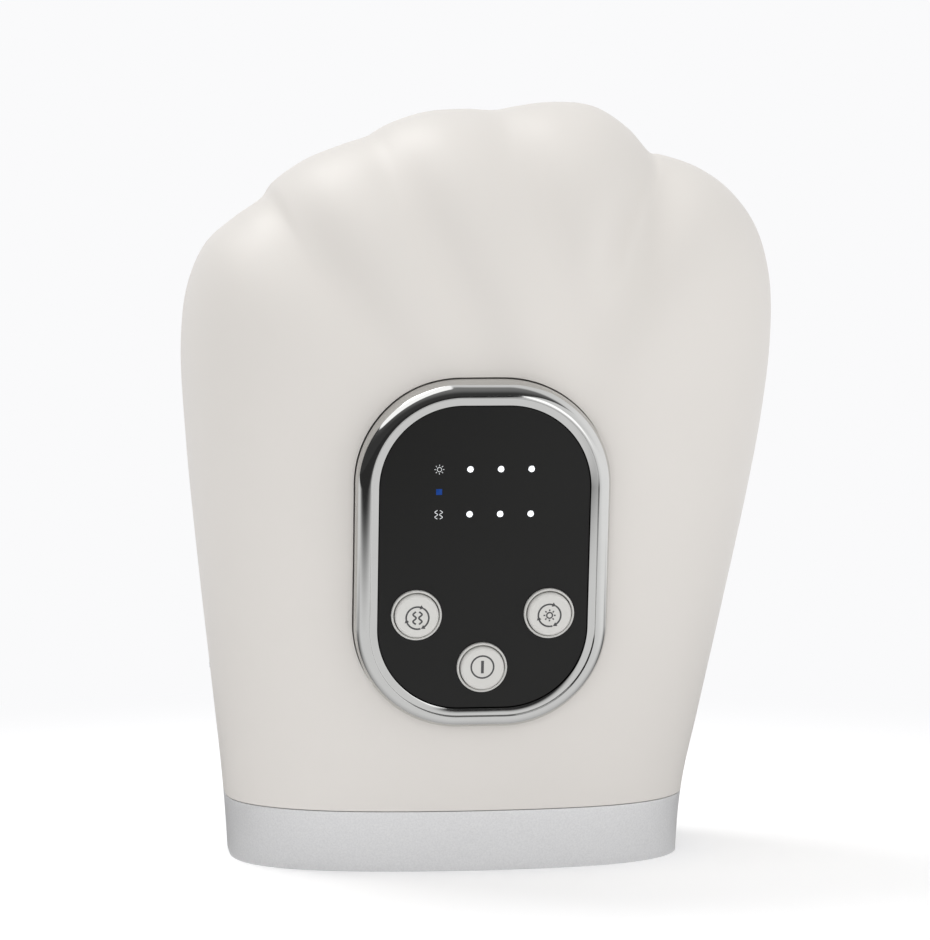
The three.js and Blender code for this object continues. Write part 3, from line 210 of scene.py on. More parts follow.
# Moulded ABS caps, brighter white than the housing.
cap_abs = grained("moulded_abs_cap_white", "#d4d3cf", "#d0cfcb", 9, 0.38, 0.04, 0.35, 0.004)
# Moulded ABS collars, light grey.
collar_abs = grained("moulded_abs_light_grey", "#d0cfcb", "#cac9c6", 8, 0.4, 0.05, 0.35, 0.005)
# Screen-printed grey ink on the caps: flat and matt, its pigment a little uneven.
grey_ink = grained("screen_printed_grey_ink", "#4d4d4e", "#454546", 1.5, 0.55, 0.06, 0.15, 0.004)
# Screen-printed white ink on the panel: the same flat film in near white.
white_ink = grained("screen_printed_white_ink", "#e4e6e7", "#d2d4d6", 1.5, 0.55, 0.06, 0.15, 0.004)
# Clear polycarbonate pins, lit from below: small even white discs.
lit_white = grained("lit_polycarbonate_white", "#ffffff", "#f4f6fa", 0.8, 0.3, 0.05, 0.3, 0.002, 0,
                    {"Emission Color": linear("#f6f9ff"), "Emission Strength": 0.9})
# The same over a blue light: deep blue, only just glowing.
lit_blue = grained("lit_polycarbonate_blue", "#0a2f74", "#082762", 0.8, 0.3, 0.05, 0.3, 0.002, 0,
                   {"Emission Color": linear("#0a56b4"), "Emission Strength": 0.24,
                    "Specular IOR Level": 0.2})
# Thermoplastic rubber feet: dull, with a faint bloom.
foot_rubber = grained("moulded_grey_rubber", "#6e7073", "#66686b", 6, 0.82, 0.08, 0.5, 0.02)
# Zinc plated steel: grey-blue, with the drifts of the bath.
zinc_steel = grained("zinc_plated_steel", "#b8bcc0", "#a9aeb4", 3, 0.34, 0.08, 0.4, 0.004, 1)
# Natural ABS of the inner frames: plain off-white with a soft gloss.
inner_white = grained("moulded_abs_natural", "#eceae6", "#e5e3df", 20, 0.5, 0.05, 0.5, 0.008)
# Glass-filled nylon: near black and dull, mottled by its fibres.
inner_black = grained("glass_filled_nylon_black", "#222324", "#2b2c2d", 4, 0.6, 0.08, 0.4, 0.012)
# Moulded POM: mid grey, a little waxy.
inner_grey = grained("moulded_pom_grey", "#8d9092", "#84878a", 8, 0.5, 0.05, 0.4, 0.006)
# Solder mask on glass-fibre board: deep green with an uneven gloss.
board_mask = grained("solder_mask_green", "#2f6b45", "#275c3a", 3, 0.42, 0.12, 0.8, 0.02)
# Extruded silicone: grey, dull and slightly cloudy.
tube_silicone = grained("silicone_tube_grey", "#85888a", "#7b7e81", 10, 0.55, 0.06, 0.5, 0.006)
# Welded TPU film: blue-grey, its soft sheen broken by faint creases.
bag_tpu = grained("welded_tpu_film", "#6f7a80", "#677278", 12, 0.4, 0.1, 1.2, 0.03)
# Pouch cell foil: pale metal with an embossed grain.
cell_foil = grained("embossed_pouch_foil", "#b2b9bf", "#a6adb4", 5, 0.36, 0.08, 0.9, 0.03, 0.85)
# Polyimide film: amber and smooth, with a clear sheen.
pad_film = grained("polyimide_heating_film", "#c98a3a", "#bd7c2e", 5, 0.35, 0.08, 0.8, 0.01)
# Etched steel foil: grey-brown metal, even and satin.
heater_foil = grained("etched_steel_foil", "#8f8a80", "#827d74", 2, 0.3, 0.08, 0.5, 0.002, 1)
# PVC cable jacket: black with a soft sheen.
cable_pvc = grained("pvc_jacket_black", "#303030", "#282828", 6, 0.5, 0.06, 0.3, 0.006)


def knitted_lining():
    """Warp-knitted polyester lining: fine ribs with loops along them, soft sheen"""
    rib_mm, loop_mm = 1.2, 0.9
    bands = pi / 10  # a wave texture's scale that gives one band to each unit
    material, tree, where = new_material("warp_knit_polyester")
    rib = add_node(tree, "TexWave",
                   {"Vector": where, "Scale": bands / (rib_mm * MM), "Distortion": 1.2, "Detail": 1},
                   {"bands_direction": "X"})
    loop = add_node(tree, "TexWave",
                    {"Vector": where, "Scale": bands / (loop_mm * MM), "Distortion": 1.5, "Detail": 1},
                    {"bands_direction": "Z"})
    weave = add_node(tree, "Math", {0: rib.outputs["Fac"], 1: loop.outputs["Fac"]},
                     {"operation": "MULTIPLY"})
    # Painted shade: the colour darkens in the dips between ribs and loops, where the bump sinks
    tint = add_node(tree, "Mix", {0: weave.outputs[0], 6: linear("#3f4144"), 7: linear("#5a5d61")},
                    {"data_type": "RGBA"})
    bump = add_node(tree, "Bump", {"Height": weave.outputs[0], "Distance": 0.15 * MM})
    return finish_material(material, tree, {"Base Color": tint.outputs[2], "Roughness": 0.9,
                                            "Normal": bump.outputs[0], "Sheen Weight": 0.3})


lining_cloth = knitted_lining()


# Mesh helpers
def smoothstep(value, start, full):
    t = min(max((value - start) / (full - start), 0), 1)
    return t * t * (3 - 2 * t)


def outward(bm):
    """Turns all faces outwards"""
    bmesh.ops.recalc_face_normals(bm, faces=bm.faces)
    return bm


def welded(bm):
    """Merges doubled points, then turns all faces outwards"""
    bmesh.ops.remove_doubles(bm, verts=bm.verts, dist=WELD)
    return outward(bm)


def whole(bm):
    return bm.verts[:] + bm.edges[:] + bm.faces[:]


def lathe(profile, steps=ROUND):
    """Round piece spun about Z from (radius, height) pairs"""
    bm = bmesh.new()
    verts = [bm.verts.new((radius, 0, height)) for radius, height in profile]
    edges = [bm.edges.new(pair) for pair in zip(verts, verts[1:])]
    bmesh.ops.spin(bm, geom=verts + edges, cent=(0, 0, 0), axis=(0, 0, 1), dvec=(0, 0, 0), angle=tau,
                   steps=steps, use_merge=True, use_duplicate=False)
    return welded(bm)


def sweep(bm, geom, cent=(0, 0, 0), angle=0.0, steps=1, dvec=(0, 0, 0)):
    """Carries a profile round or along, and gives its last copy"""
    made = bmesh.ops.spin(bm, geom=geom, cent=cent, axis=(0, 0, 1), dvec=dvec, angle=angle, steps=steps,
                          use_merge=False, use_duplicate=False)
    return made["geom_last"]


def soft_frame(profile, loop, steps=24, closed=True):
    """Profile of (inset, height) pairs carried round a soft-cornered rectangle"""
    half_width, half_length, radius = loop
    bm = bmesh.new()
    verts = [bm.verts.new((half_width - inset, 0, height)) for inset, height in profile]
    ends = verts[1:] + verts[:1] if closed else verts[1:]
    geom = verts + [bm.edges.new(pair) for pair in zip(verts, ends)]
    geom = sweep(bm, geom, dvec=(0, half_length - radius, 0))
    geom = sweep(bm, geom, (half_width - radius, half_length - radius, 0), pi / 2, steps)
    sweep(bm, geom, dvec=(radius - half_width, 0, 0))
    for axis in "XY":
        bmesh.ops.mirror(bm, geom=whole(bm), matrix=Matrix(), merge_dist=WELD, axis=axis)
    return welded(bm)


def loft(across, along, place):
    """Sheet of quads, each corner put by place(u, v), with u and v from 0 to 1"""
    bm = bmesh.new()
    bmesh.ops.create_grid(bm, x_segments=across, y_segments=along, size=0.5)
    for vert in bm.verts:
        vert.co = place(vert.co.x + 0.5, vert.co.y + 0.5)
    return welded(bm)


def pulled(bm, step, keep=True):
    """Gives flat faces a thickness: copies them a step away and closes the sides"""
    made = bmesh.ops.extrude_face_region(bm, geom=bm.faces[:], use_keep_orig=keep)
    bmesh.ops.translate(bm, verts=[v for v in made["geom"] if isinstance(v, bmesh.types.BMVert)], vec=step)
    return outward(bm)


def cut_plane(bm, point, away):
    """Cuts away all that lies beyond a plane"""
    bmesh.ops.bisect_plane(bm, geom=whole(bm), dist=1e-5, plane_co=point, plane_no=away, clear_outer=True,
                           clear_inner=False)
    return bm


def merge(target, *others):
    """Adds the meshes of others to target"""
    for other in others:
        held = bpy.data.meshes.new("held")
        other.to_mesh(held)
        target.from_mesh(held)
        bpy.data.meshes.remove(held)
        other.free()
    return target


def moved(bm, matrix):
    bmesh.ops.transform(bm, matrix=matrix, verts=bm.verts)
    return bm


def shifted(bm, x, y, z):
    return moved(bm, Matrix.Translation((x, y, z)))


def block(low, high):
    """Block between two corners"""
    low, high = Vector(low), Vector(high)
    bm = bmesh.new()
    bmesh.ops.create_cube(bm, size=1)
    return moved(bm, Matrix.Translation((low + high) / 2) @ Matrix.Diagonal((*(high - low), 1)))


TO_FRONT = Matrix.Rotation(pi / 2, 4, "X")


def rod_y(x, z, y0, y1, radius, steps=SMALL_ROUND):
    bm = bmesh.new()
    bmesh.ops.create_cone(bm, cap_ends=True, segments=steps, radius1=radius, radius2=radius, depth=y1 - y0)
    return moved(bm, Matrix.Translation((x, (y0 + y1) / 2, z)) @ TO_FRONT)


def add_object(name, data):
    made = bpy.data.objects.new(name, data)
    bpy.context.scene.collection.objects.link(made)
    return made


def new_object(name, bm):
    mesh = bpy.data.meshes.new(name)
    bm.to_mesh(mesh)
    bm.free()
    return add_object(name, mesh)


def give_finish(mesh, material):
    mesh.materials.clear()
    mesh.materials.append(material)


def modify(made, kind, **settings):
    modifier = made.modifiers.new(kind.lower(), kind)
    for key, value in settings.items():
        setattr(modifier, key, value)


def piece(name, bm, material, replaced=(), body="housing", wall=0.0, edge=0.0, cuts=(),
          smooth=38, place=Matrix()):
    """Finishes a mesh: wall thickness inwards, cuts, softened edges, shading, place, finish and body"""
    made = new_object(name, bm)
    if wall:
        modify(made, "SOLIDIFY", thickness=wall, offset=-1, use_even_offset=True)
    cutters = [new_object(f"{name}_cutter", cutter) for cutter in cuts]
    for cutter in cutters:
        modify(made, "BOOLEAN", operation="DIFFERENCE", solver="EXACT", object=cutter)
    if edge:
        modify(made, "BEVEL", width=edge, segments=3, profile=0.5, limit_method="ANGLE",
               angle_limit=radians(smooth))
    bpy.context.view_layer.update()
    baked = bpy.data.meshes.new_from_object(made.evaluated_get(bpy.context.evaluated_depsgraph_get()))
    made.modifiers.clear()
    made.data = baked
    baked.name = name
    for cutter in cutters:
        bpy.data.objects.remove(cutter)
    baked.transform(TO_FRAME @ place)
    baked.shade_smooth()
    baked.set_sharp_from_angle(angle=radians(smooth))
    give_finish(baked, material)
    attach(made, body)
    if replaced:
        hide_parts(*replaced)
    return made


# The master surface: outline, valleys and crowns
def outline_at(share):
    """Point of the closed outline, a Catmull-Rom curve; share counts outline points"""
    start = floor(share)
    t = share - start
    near = [OUTLINE[(start + k) % len(OUTLINE)] for k in (-1, 0, 1, 2)]
    before, here, ahead, beyond = (Vector((x / 1000 * BODY_WIDTH, 0, z / 1000 * BODY_HEIGHT))
                                   for x, z in near)
    first, middle, last = (sqrt((end - begin).length) for begin, end
                           in ((before, here), (here, ahead), (ahead, beyond)))
    out = (here - before) / first - (ahead - before) / (first + middle) + (ahead - here) / middle
    into = (ahead - here) / middle - (beyond - here) / (middle + last) + (beyond - ahead) / last
    out, into = out * middle, into * middle
    return (here + out * t + (3 * (ahead - here) - 2 * out - into) * t * t
            + (2 * (here - ahead) + out + into) * t ** 3)


SAMPLES = len(OUTLINE) * AROUND
rim_ring = [CROWN.lerp(outline_at(k / AROUND), SNUG) for k in range(SAMPLES)]
calm_window = int(CALM_REACH * AROUND)
calm_ring = [sum((rim_ring[(k + j) % SAMPLES] for j in range(-calm_window, calm_window + 1)), Vector())
             / (2 * calm_window + 1) for k in range(SAMPLES)]


def inset_ring(ring, inset):
    """A ring of points moved inwards"""
    moved_in = []
    for k, point in enumerate(ring):
        along = (ring[(k + 1) % len(ring)] - ring[k - 1]).normalized()
        moved_in.append(point + Vector((along.z, 0, -along.x)) * inset)
    return moved_in


def valley_factor(x, z):
    """Share of the front crown's depth that the finger valleys leave"""
    left = 1
    for share_x, share_z, depth, foot in VALLEYS:
        here = Vector((x, z)) - Vector(foot)
        notch = Vector((share_x * BODY_WIDTH, share_z * BODY_HEIGHT)) - Vector(foot)
        aside = (here.x * notch.y - here.y * notch.x) / notch.length
        fade = smoothstep(here.dot(notch) / notch.length_squared, *GROOVE_FADE)
        left *= 1 - depth * fade * exp(-(aside / GROOVE_WIDTH) ** 2)
    return left


def front_depth(height):
    """Depth of the front crown, which grows towards the fingertips"""
    return DEPTH_AT_CUFF + (DEPTH_AT_TIPS - DEPTH_AT_CUFF) * height / BODY_HEIGHT


def crown_point(rim, calm, turn, is_front):
    """Point of a crown at a turn: 0 at its middle, a quarter turn at the rim"""
    power = FRONT_POWER if is_front else BACK_POWER
    out = sin(turn) ** (2 / power)
    rise = max(cos(turn), 0) ** (2 / power)
    target = calm.lerp(rim, smoothstep(out, *LOBE_FADE))
    flat = CROWN.lerp(target, out)
    if not is_front:
        return Vector((flat.x, BACK_DEPTH * rise, flat.z))
    return Vector((flat.x, -front_depth(flat.z) * valley_factor(flat.x, flat.z) * rise, flat.z))


def inside_opening(point):
    """Whether a point lies within the panel's opening, seen square to the panel"""
    half_width, half_length, radius = (size + SEAT_GAP for size in BEZEL)
    seen = OFF_PANEL @ point
    x, y = abs(seen.x), abs(seen.y)
    corner_x, corner_y = x - (half_width - radius), y - (half_length - radius)
    if corner_x > 0 and corner_y > 0:
        return corner_x ** 2 + corner_y ** 2 < radius ** 2
    return x < half_width and y < half_length


def opening_turns():
    """The turns at which the front crown meets the panel's opening, all round"""
    turns = []
    for rim, calm in zip(rim_ring, calm_ring):
        low, high = 0, pi / 2
        for _ in range(HALVINGS):
            middle = (low + high) / 2
            if inside_opening(crown_point(rim, calm, middle, True)):
                low = middle
            else:
                high = middle
        turns.append(high)
    return turns


def crown_sheet(is_front, start_turns=None):
    """One crown as a sheet of quads, from its middle or the panel's opening out to the rim"""
    def place(u, v):
        k = round(u * SAMPLES) % SAMPLES
        start = start_turns[k] if start_turns else 0
        return crown_point(rim_ring[k], calm_ring[k], start + (pi / 2 - start) * v, is_front)
    return loft(SAMPLES, FRONT_ROWS if is_front else BACK_ROWS, place)


def outline_x(height, side, inset=0):
    """Where the outline crosses a height, on the little finger side (-1) or the thumb side (1)"""
    ring = inset_ring(rim_ring, inset)
    crossings = [a.x + (b.x - a.x) * (height - a.z) / (b.z - a.z)
                 for a, b in zip(ring, ring[1:] + ring[:1]) if (a.z - height) * (b.z - height) < 0]
    return min(crossings) if side < 0 else max(crossings)


@functools.lru_cache(maxsize=None)
def room(height, y, inset):
    """Left and right limit of the room inside the housing at a height and a depth"""
    is_front = y < 0
    depth = front_depth(height) if is_front else BACK_DEPTH
    power = FRONT_POWER if is_front else BACK_POWER
    out = (1 - (abs(y) / (depth - WALL - SEAT_GAP)) ** power) ** (1 / power)
    level = CROWN.z + (height - CROWN.z) / out
    return [CROWN.x + (outline_x(level, side, inset) - CROWN.x) * out for side in (-1, 1)]


# Housing
opening = opening_turns()
SCREW_HEIGHTS = (36, 148)
BOSS_RADIUS = 4
SCREW_SEAT = 10
SCREW_HEAD = 2.6
boss_places = [(outline_x(z, side) - side * (WALL + BOSS_RADIUS + SEAT_GAP), z)
               for z in SCREW_HEIGHTS for side in (-1, 1)]
FOOT_ASIDE = 44
FOOT_HEIGHTS = (40, 168)
foot_places = [(FOOT_CENTRE_X + side * FOOT_ASIDE, z) for z in FOOT_HEIGHTS for side in (-1, 1)]

front_sheet = cut_plane(crown_sheet(True, opening), (0, 0, SHELL_START), (0, 0, -1))
cut_plane(front_sheet, (0, -SEAT_GAP / 2, 0), (0, 1, 0))
front_skin = BVHTree.FromBMesh(front_sheet)
piece("front_shell_skin", front_sheet, shell_abs, ["front_shell"],
      wall=WALL, edge=0.35, smooth=50)

FOOT_RADIUS = 7
FOOT_SINK = 3
SOCKET = {"z": 62, "y": 14, "width": 9, "thickness": 3.2, "length": 7.4, "wall": 0.4}
TONGUE = {"half_width": 3.3, "half_thickness": 0.35, "sunk": 1.2}


def socket_bar(grow, x0, x1):
    """Stadium bar along X at the charging socket"""
    radius = SOCKET["thickness"] / 2 + grow
    bm = soft_frame([(0, 0)], (SOCKET["width"] / 2 + grow, radius, radius - 1e-3), 12, closed=False)
    bmesh.ops.edgeloop_fill(bm, edges=bm.edges)
    pulled(bm, (0, 0, x1 - x0), keep=False)
    turn = Matrix(((0, 0, 1, x0), (0, 1, 0, SOCKET["y"]), (1, 0, 0, SOCKET["z"]), (0, 0, 0, 1)))
    return outward(moved(bm, turn))


back_sheet = cut_plane(crown_sheet(False), (0, 0, SHELL_START), (0, 0, -1))
cut_plane(back_sheet, (0, SEAT_GAP / 2, 0), (0, -1, 0))
back_skin = BVHTree.FromBMesh(back_sheet)
back_cuts = [rod_y(x, z, SCREW_SEAT, BACK_DEPTH + FAR, SCREW_HEAD + SEAT_GAP) for x, z in boss_places]
back_cuts += [rod_y(x, z, BACK_DEPTH - WALL - 1, BACK_DEPTH + FAR, FOOT_RADIUS + SEAT_GAP, ROUND)
              for x, z in foot_places]
socket_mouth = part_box("charge_socket")[0].x / MM - SHIFT.x
socket_end = socket_mouth + SOCKET["length"]
back_cuts.append(socket_bar(SEAT_GAP, socket_mouth - 20, socket_end))
piece("back_shell_skin", back_sheet, shell_abs, ["back_shell"],
      wall=WALL, cuts=back_cuts, edge=0.3, smooth=50)


def boss(x, z, toward, skin, rings):
    """Screw boss round (x, z) from (radius, y) rings, y None for a ring that runs out inside the wall"""
    def place(u, v):
        radius, y = rings[round(v * (len(rings) - 1))]
        across, up = x + radius * cos(tau * u), z + radius * sin(tau * u)
        if y is None:
            y = skin.ray_cast(Vector((across, 0, up)), Vector((0, toward, 0)))[0].y - toward * WALL / 2
        return Vector((across, y, up))
    return loft(SMALL_ROUND, len(rings) - 1, place)


def on_back(x, z):
    """Turns a lathed piece's axis to +Y, at x and z"""
    return Matrix.Translation((x, 0, z)) @ Matrix.Rotation(-pi / 2, 4, "X")


SHANK_HOLE = 1.7
SHANK_HOLE_END = -13.2
well = SCREW_HEAD + SEAT_GAP + 0.05  # a hair wider than the shell's own bore
back_rings = [(BOSS_RADIUS, None), (well, None), (well, SCREW_SEAT), (SHANK_HOLE, SCREW_SEAT),
              (SHANK_HOLE, SEAT_GAP / 2), (BOSS_RADIUS, SEAT_GAP / 2), (BOSS_RADIUS, None)]
front_rings = [(0, SHANK_HOLE_END), (SHANK_HOLE, SHANK_HOLE_END), (SHANK_HOLE, -SEAT_GAP / 2),
               (BOSS_RADIUS, -SEAT_GAP / 2), (BOSS_RADIUS, None), (0, None)]
SEAT_RADIUS, SEAT_STEP = 8.8, 7.2
seat_top = BACK_DEPTH - FOOT_SINK - SEAT_GAP
seat_shoulder, seat_bottom = seat_top - 0.9, seat_top - 3
seat_profile = [(0, seat_bottom), (SEAT_RADIUS, seat_bottom), (SEAT_RADIUS, seat_shoulder),
                (SEAT_STEP, seat_shoulder), (SEAT_STEP, seat_top), (0, seat_top)]
back_parts = [boss(x, z, 1, back_skin, back_rings) for x, z in boss_places]
back_parts += [moved(lathe(seat_profile), on_back(x, z)) for x, z in foot_places]
front_parts = [boss(x, z, -1, front_skin, front_rings) for x, z in boss_places]
piece("back_bosses", merge(*back_parts), shell_abs, ["back_shell"])
piece("front_bosses", merge(*front_parts), shell_abs, ["front_shell"])

cuff_sheet = merge(crown_sheet(True, opening), crown_sheet(False))
cut_plane(cuff_sheet, (0, 0, CUFF_TOP), (0, 0, 1))
cut_plane(cuff_sheet, (0, 0, 0), (0, 0, -1))
piece("cuff_band", welded(cuff_sheet), silver_lacquer, ["cuff_ring"], wall=WALL, edge=0.45,
      smooth=50)

# Chrome ring and black face
ROLL_INSET = 4.0  # crest of the roll, from the ring's outer edge
ROLL_END = 4.3  # where the flat inner strip starts
ROLL_FOOT = -3.4
ROLL_RISE = 1.2
STRIP_RISE = 0.75
ring_back = -PLATE_DROP - SEAT_GAP
quarter = [pi / 2 * k / 12 for k in range(13)]


def fillet(radius, top, size):
    """Rounded upper edge of a turned piece, from the top down to its side"""
    return [(radius - size * (1 - sin(a)), top - size * (1 - cos(a))) for a in quarter[2::2]]


ring_profile = [(0, -BEZEL_SKIRT)]
ring_profile += [(ROLL_INSET * (1 - cos(a)), ROLL_FOOT + (ROLL_RISE - ROLL_FOOT) * sin(a))
                 for a in quarter]
ring_profile += [(ROLL_INSET + (ROLL_END - ROLL_INSET) * sin(a),
                  STRIP_RISE + (ROLL_RISE - STRIP_RISE) * cos(a)) for a in quarter[1:]]
ring_profile += [(ROLL_END + 0.12, 0.66), (BEZEL_BAND - 0.2, 0.48), (BEZEL_BAND - 0.06, 0.44),
                 (BEZEL_BAND, 0.3), (BEZEL_BAND, ring_back), (SKIRT_WALL, ring_back),
                 (SKIRT_WALL, -BEZEL_SKIRT)]
piece("bezel_chrome", soft_frame(ring_profile, BEZEL, CORNER_STEPS), chrome, ["bezel_ring"],
      smooth=24, place=ON_PANEL)


def hole(x, y, radius, steps, turn=0.0):
    """Outline of a hole in the plate"""
    bm = bmesh.new()
    bmesh.ops.create_circle(bm, cap_ends=False, radius=radius, segments=steps)
    return moved(bm, Matrix.Translation((x, y, 0)) @ Matrix.Rotation(turn, 4, "Z"))


def filled(bm):
    """Fills the flat outlines of a sheet and its holes"""
    bmesh.ops.triangle_fill(bm, use_beauty=True, use_dissolve=False, edges=bm.edges[:], normal=(0, 0, 1))
    return bm


def make_plate():
    inset = BEZEL_BAND + SEAT_GAP
    collar_gap, light_gap, blue_corner = 0.15, 0.12, 1.25
    bm = soft_frame([(0, 0)], tuple(size - inset for size in BEZEL), CORNER_STEPS, closed=False)
    merge(bm, *[hole(x, y, COLLAR_RADIUS + collar_gap, ROUND) for x, y in BUTTONS.values()],
          *[hole(x, y, LIGHT_RADIUS + light_gap, SMALL_ROUND) for x, y in LIGHTS],
          hole(*BLUE_LIGHT, blue_corner, 4, pi / 4))
    return pulled(outward(filled(bm)), (0, 0, -PLATE_DROP))


piece("panel_face", make_plate(), panel_black, ["panel_plate"], smooth=30,
      place=ON_PANEL)

lens_radius = LIGHT_RADIUS - 0.04
lens_profile = [(0, 0.08), (0.5, 0.07), (0.78, 0.02), (lens_radius, -0.12), (lens_radius, -LENS_DEPTH),
                (0, -LENS_DEPTH)]
lenses = merge(*[shifted(lathe(lens_profile, SMALL_ROUND), x, y, 0) for x, y in LIGHTS])
piece("light_lenses", lenses, lit_white, smooth=60, place=ON_PANEL)
blue_block = block((-BLUE_HALF, -BLUE_HALF, -LENS_DEPTH), (BLUE_HALF, BLUE_HALF, 0.05))
piece("blue_lens", shifted(blue_block, *BLUE_LIGHT, 0), lit_blue, edge=0.12, place=ON_PANEL)

# Buttons
COLLAR_BORE = COLLAR_RADIUS - COLLAR_WALL
COLLAR_BACK = ring_back - 1
FLANGE_RADIUS = COLLAR_RADIUS + 1.6
collar_profile = [
    (COLLAR_BORE, COLLAR_BACK), (FLANGE_RADIUS, COLLAR_BACK), (FLANGE_RADIUS, ring_back),
    (COLLAR_RADIUS, ring_back), (COLLAR_RADIUS, COLLAR_PROUD - 0.35),
    (COLLAR_RADIUS - 0.1, COLLAR_PROUD - 0.1), (COLLAR_RADIUS - 0.35, COLLAR_PROUD),
    (COLLAR_RADIUS - 0.6, COLLAR_PROUD - 0.1), (COLLAR_BORE, COLLAR_PROUD - 0.35),
    (COLLAR_BORE, COLLAR_BACK),
]
CAP_FLANGE = 0.9
CAP_FLANGE_TOP = COLLAR_BACK - SEAT_GAP
CAP_FLANGE_BOTTOM = CAP_FLANGE_TOP - 1.2
STEM_RADIUS = 1.6
STEM_BOTTOM = -BOARD_DROP + SEAT_GAP + SWITCH_HEIGHT + PLUNGER_PROUD + SEAT_GAP
cap_profile = [(0, CAP_PROUD), (CAP_RADIUS - CAP_FILLET, CAP_PROUD)]
cap_profile += fillet(CAP_RADIUS, CAP_PROUD, CAP_FILLET)
cap_profile += [(CAP_RADIUS, CAP_FLANGE_TOP), (CAP_RADIUS + CAP_FLANGE, CAP_FLANGE_TOP),
                (CAP_RADIUS + CAP_FLANGE, CAP_FLANGE_BOTTOM), (STEM_RADIUS, CAP_FLANGE_BOTTOM),
                (STEM_RADIUS, STEM_BOTTOM), (0, STEM_BOTTOM)]


def ribbon(count, place, width):
    """Printed line of one width along place(t), t from 0 to 1"""
    def at(u, v):
        here, ahead = place(u), place(min(u + 1e-3, 1)) - place(max(u - 1e-3, 0))
        side = Vector((-ahead.y, ahead.x)).normalized() * width * (v - 0.5)
        return Vector((here.x + side.x, here.y + side.y, 0))
    return raised(loft(count, 1, at))


def raised(bm):
    """Gives a flat print its film thickness"""
    return pulled(outward(bm), (0, 0, INK_RISE))


def arc(radius, start, end, width, count=48):
    def place(t):
        angle = radians(start + (end - start) * t)
        return Vector((radius * cos(angle), radius * sin(angle)))
    return ribbon(count, place, width)


def bar(x0, y0, x1, y1, width):
    return ribbon(1, lambda t: Vector((x0 + (x1 - x0) * t, y0 + (y1 - y0) * t)), width)


def arrow_head(radius, degrees, size):
    """Small triangle on a ring, pointing clockwise"""
    bm = bmesh.new()
    bmesh.ops.create_circle(bm, cap_ends=True, radius=size, segments=3)
    turn = Matrix.Rotation(radians(degrees), 4, "Z")
    moved(bm, turn @ Matrix.Translation((radius, 0, 0)) @ Matrix.Rotation(pi, 4, "Z"))
    return raised(bm)


def wave_sign(height, gap, swing, width):
    """Two mirrored wavy lines, each bulging outwards twice"""
    def line(side):
        def place(t):
            turn = (0.05 + 0.9 * t) * 4 * pi
            return Vector((side * (gap - swing * cos(turn)), height * (t - 0.5)))
        return ribbon(40, place, width)
    return merge(line(1), line(-1))


def sun_sign(disc, ray_start, ray_end, width):
    """Small circle with eight short rays"""
    rays = [moved(bar(ray_start, 0, ray_end, 0, width), Matrix.Rotation(pi / 4 * k, 4, "Z"))
            for k in range(8)]
    return merge(arc(disc, 0, 360, width), *rays)


def turning_ring():
    """Ring of three arrows, clockwise"""
    parts = []
    for start, end in ((188, 72), (58, -56), (-74, -160)):
        parts += [arc(SIGN_RING, start, end, 0.5), arrow_head(SIGN_RING, end - 3, 0.8)]
    return merge(*parts)


# Each cap's sign, and where it is printed from the cap's middle
signs = {
    "pressure": (merge(turning_ring(), wave_sign(3.9, 0.88, 0.46, 0.5)), (0.1, -0.4)),
    "heat": (merge(turning_ring(), sun_sign(0.87, 1.3, 1.85, 0.42)), (-0.1, -0.2)),
    "power": (merge(arc(SIGN_RING, 0, 360, 0.5, 72), bar(0, -1.95, 0, 1.95, 0.85)), (-0.1, 0.6)),
}
for name, (x, y) in BUTTONS.items():
    here = ON_PANEL @ Matrix.Translation((x, y, 0))
    piece(f"{name}_collar_ring", lathe(collar_profile), collar_abs,
          [f"{name}_button_collar"], smooth=50, place=here)
    piece(f"{name}_cap", lathe(cap_profile), cap_abs, [f"{name}_button"], f"{name}_key",
          smooth=50, place=here)
    sign, (aside, up) = signs[name]
    piece(f"{name}_sign", sign, grey_ink, (), f"{name}_key",
          place=here @ Matrix.Translation((aside, up, CAP_PROUD - INK_SINK)))

face_signs = merge(shifted(sun_sign(0.66, 1.02, 1.5, 0.17), -13.9, 27.1, 0),
                   shifted(wave_sign(2.65, 0.72, 0.42, 0.23), -13.9, 13.4, 0))
piece("face_signs", face_signs, white_ink,
      place=ON_PANEL @ Matrix.Translation((0, 0, -INK_SINK)))

# Feet, screws and charging socket
FOOT_FILLET = 0.8
DISH_TOP = FOOT_END_Y - 0.4  # the shallow dish in each foot's end
foot_profile = [(0, DISH_TOP), (4.6, DISH_TOP), (4.9, FOOT_END_Y), (6.2, FOOT_END_Y)]
foot_profile += fillet(FOOT_RADIUS, FOOT_END_Y, FOOT_FILLET)
foot_profile += [(FOOT_RADIUS, BACK_DEPTH - FOOT_SINK), (0, BACK_DEPTH - FOOT_SINK)]
SHANK = 1.4
screw_profile = [(0, SCREW_SEAT + 2.4), (1.5, SCREW_SEAT + 2.2), (2.2, SCREW_SEAT + 1.7),
                 (SCREW_HEAD, SCREW_SEAT + 0.9), (SCREW_HEAD, SCREW_SEAT), (SHANK, SCREW_SEAT),
                 (SHANK, -11), (0.5, -12), (0, -12)]
slot_low, slot_high = SCREW_SEAT + 1.2, SCREW_SEAT + 5
for k, (x, z) in enumerate(foot_places, 1):
    piece(f"foot_{k}", lathe(foot_profile), foot_rubber, [f"rubber_foot_{k}"],
          smooth=45, place=on_back(x, z))
for k, (x, z) in enumerate(boss_places, 1):
    head = lathe(screw_profile, SMALL_ROUND)
    slots = [block((-half_x, -half_y, slot_low), (half_x, half_y, slot_high))
             for half_x, half_y in ((1.5, 0.25), (0.25, 1.5))]
    piece(f"screw_{k}", head, zinc_steel, [f"case_screw_{k}"], cuts=slots, smooth=40,
          place=on_back(x, z))

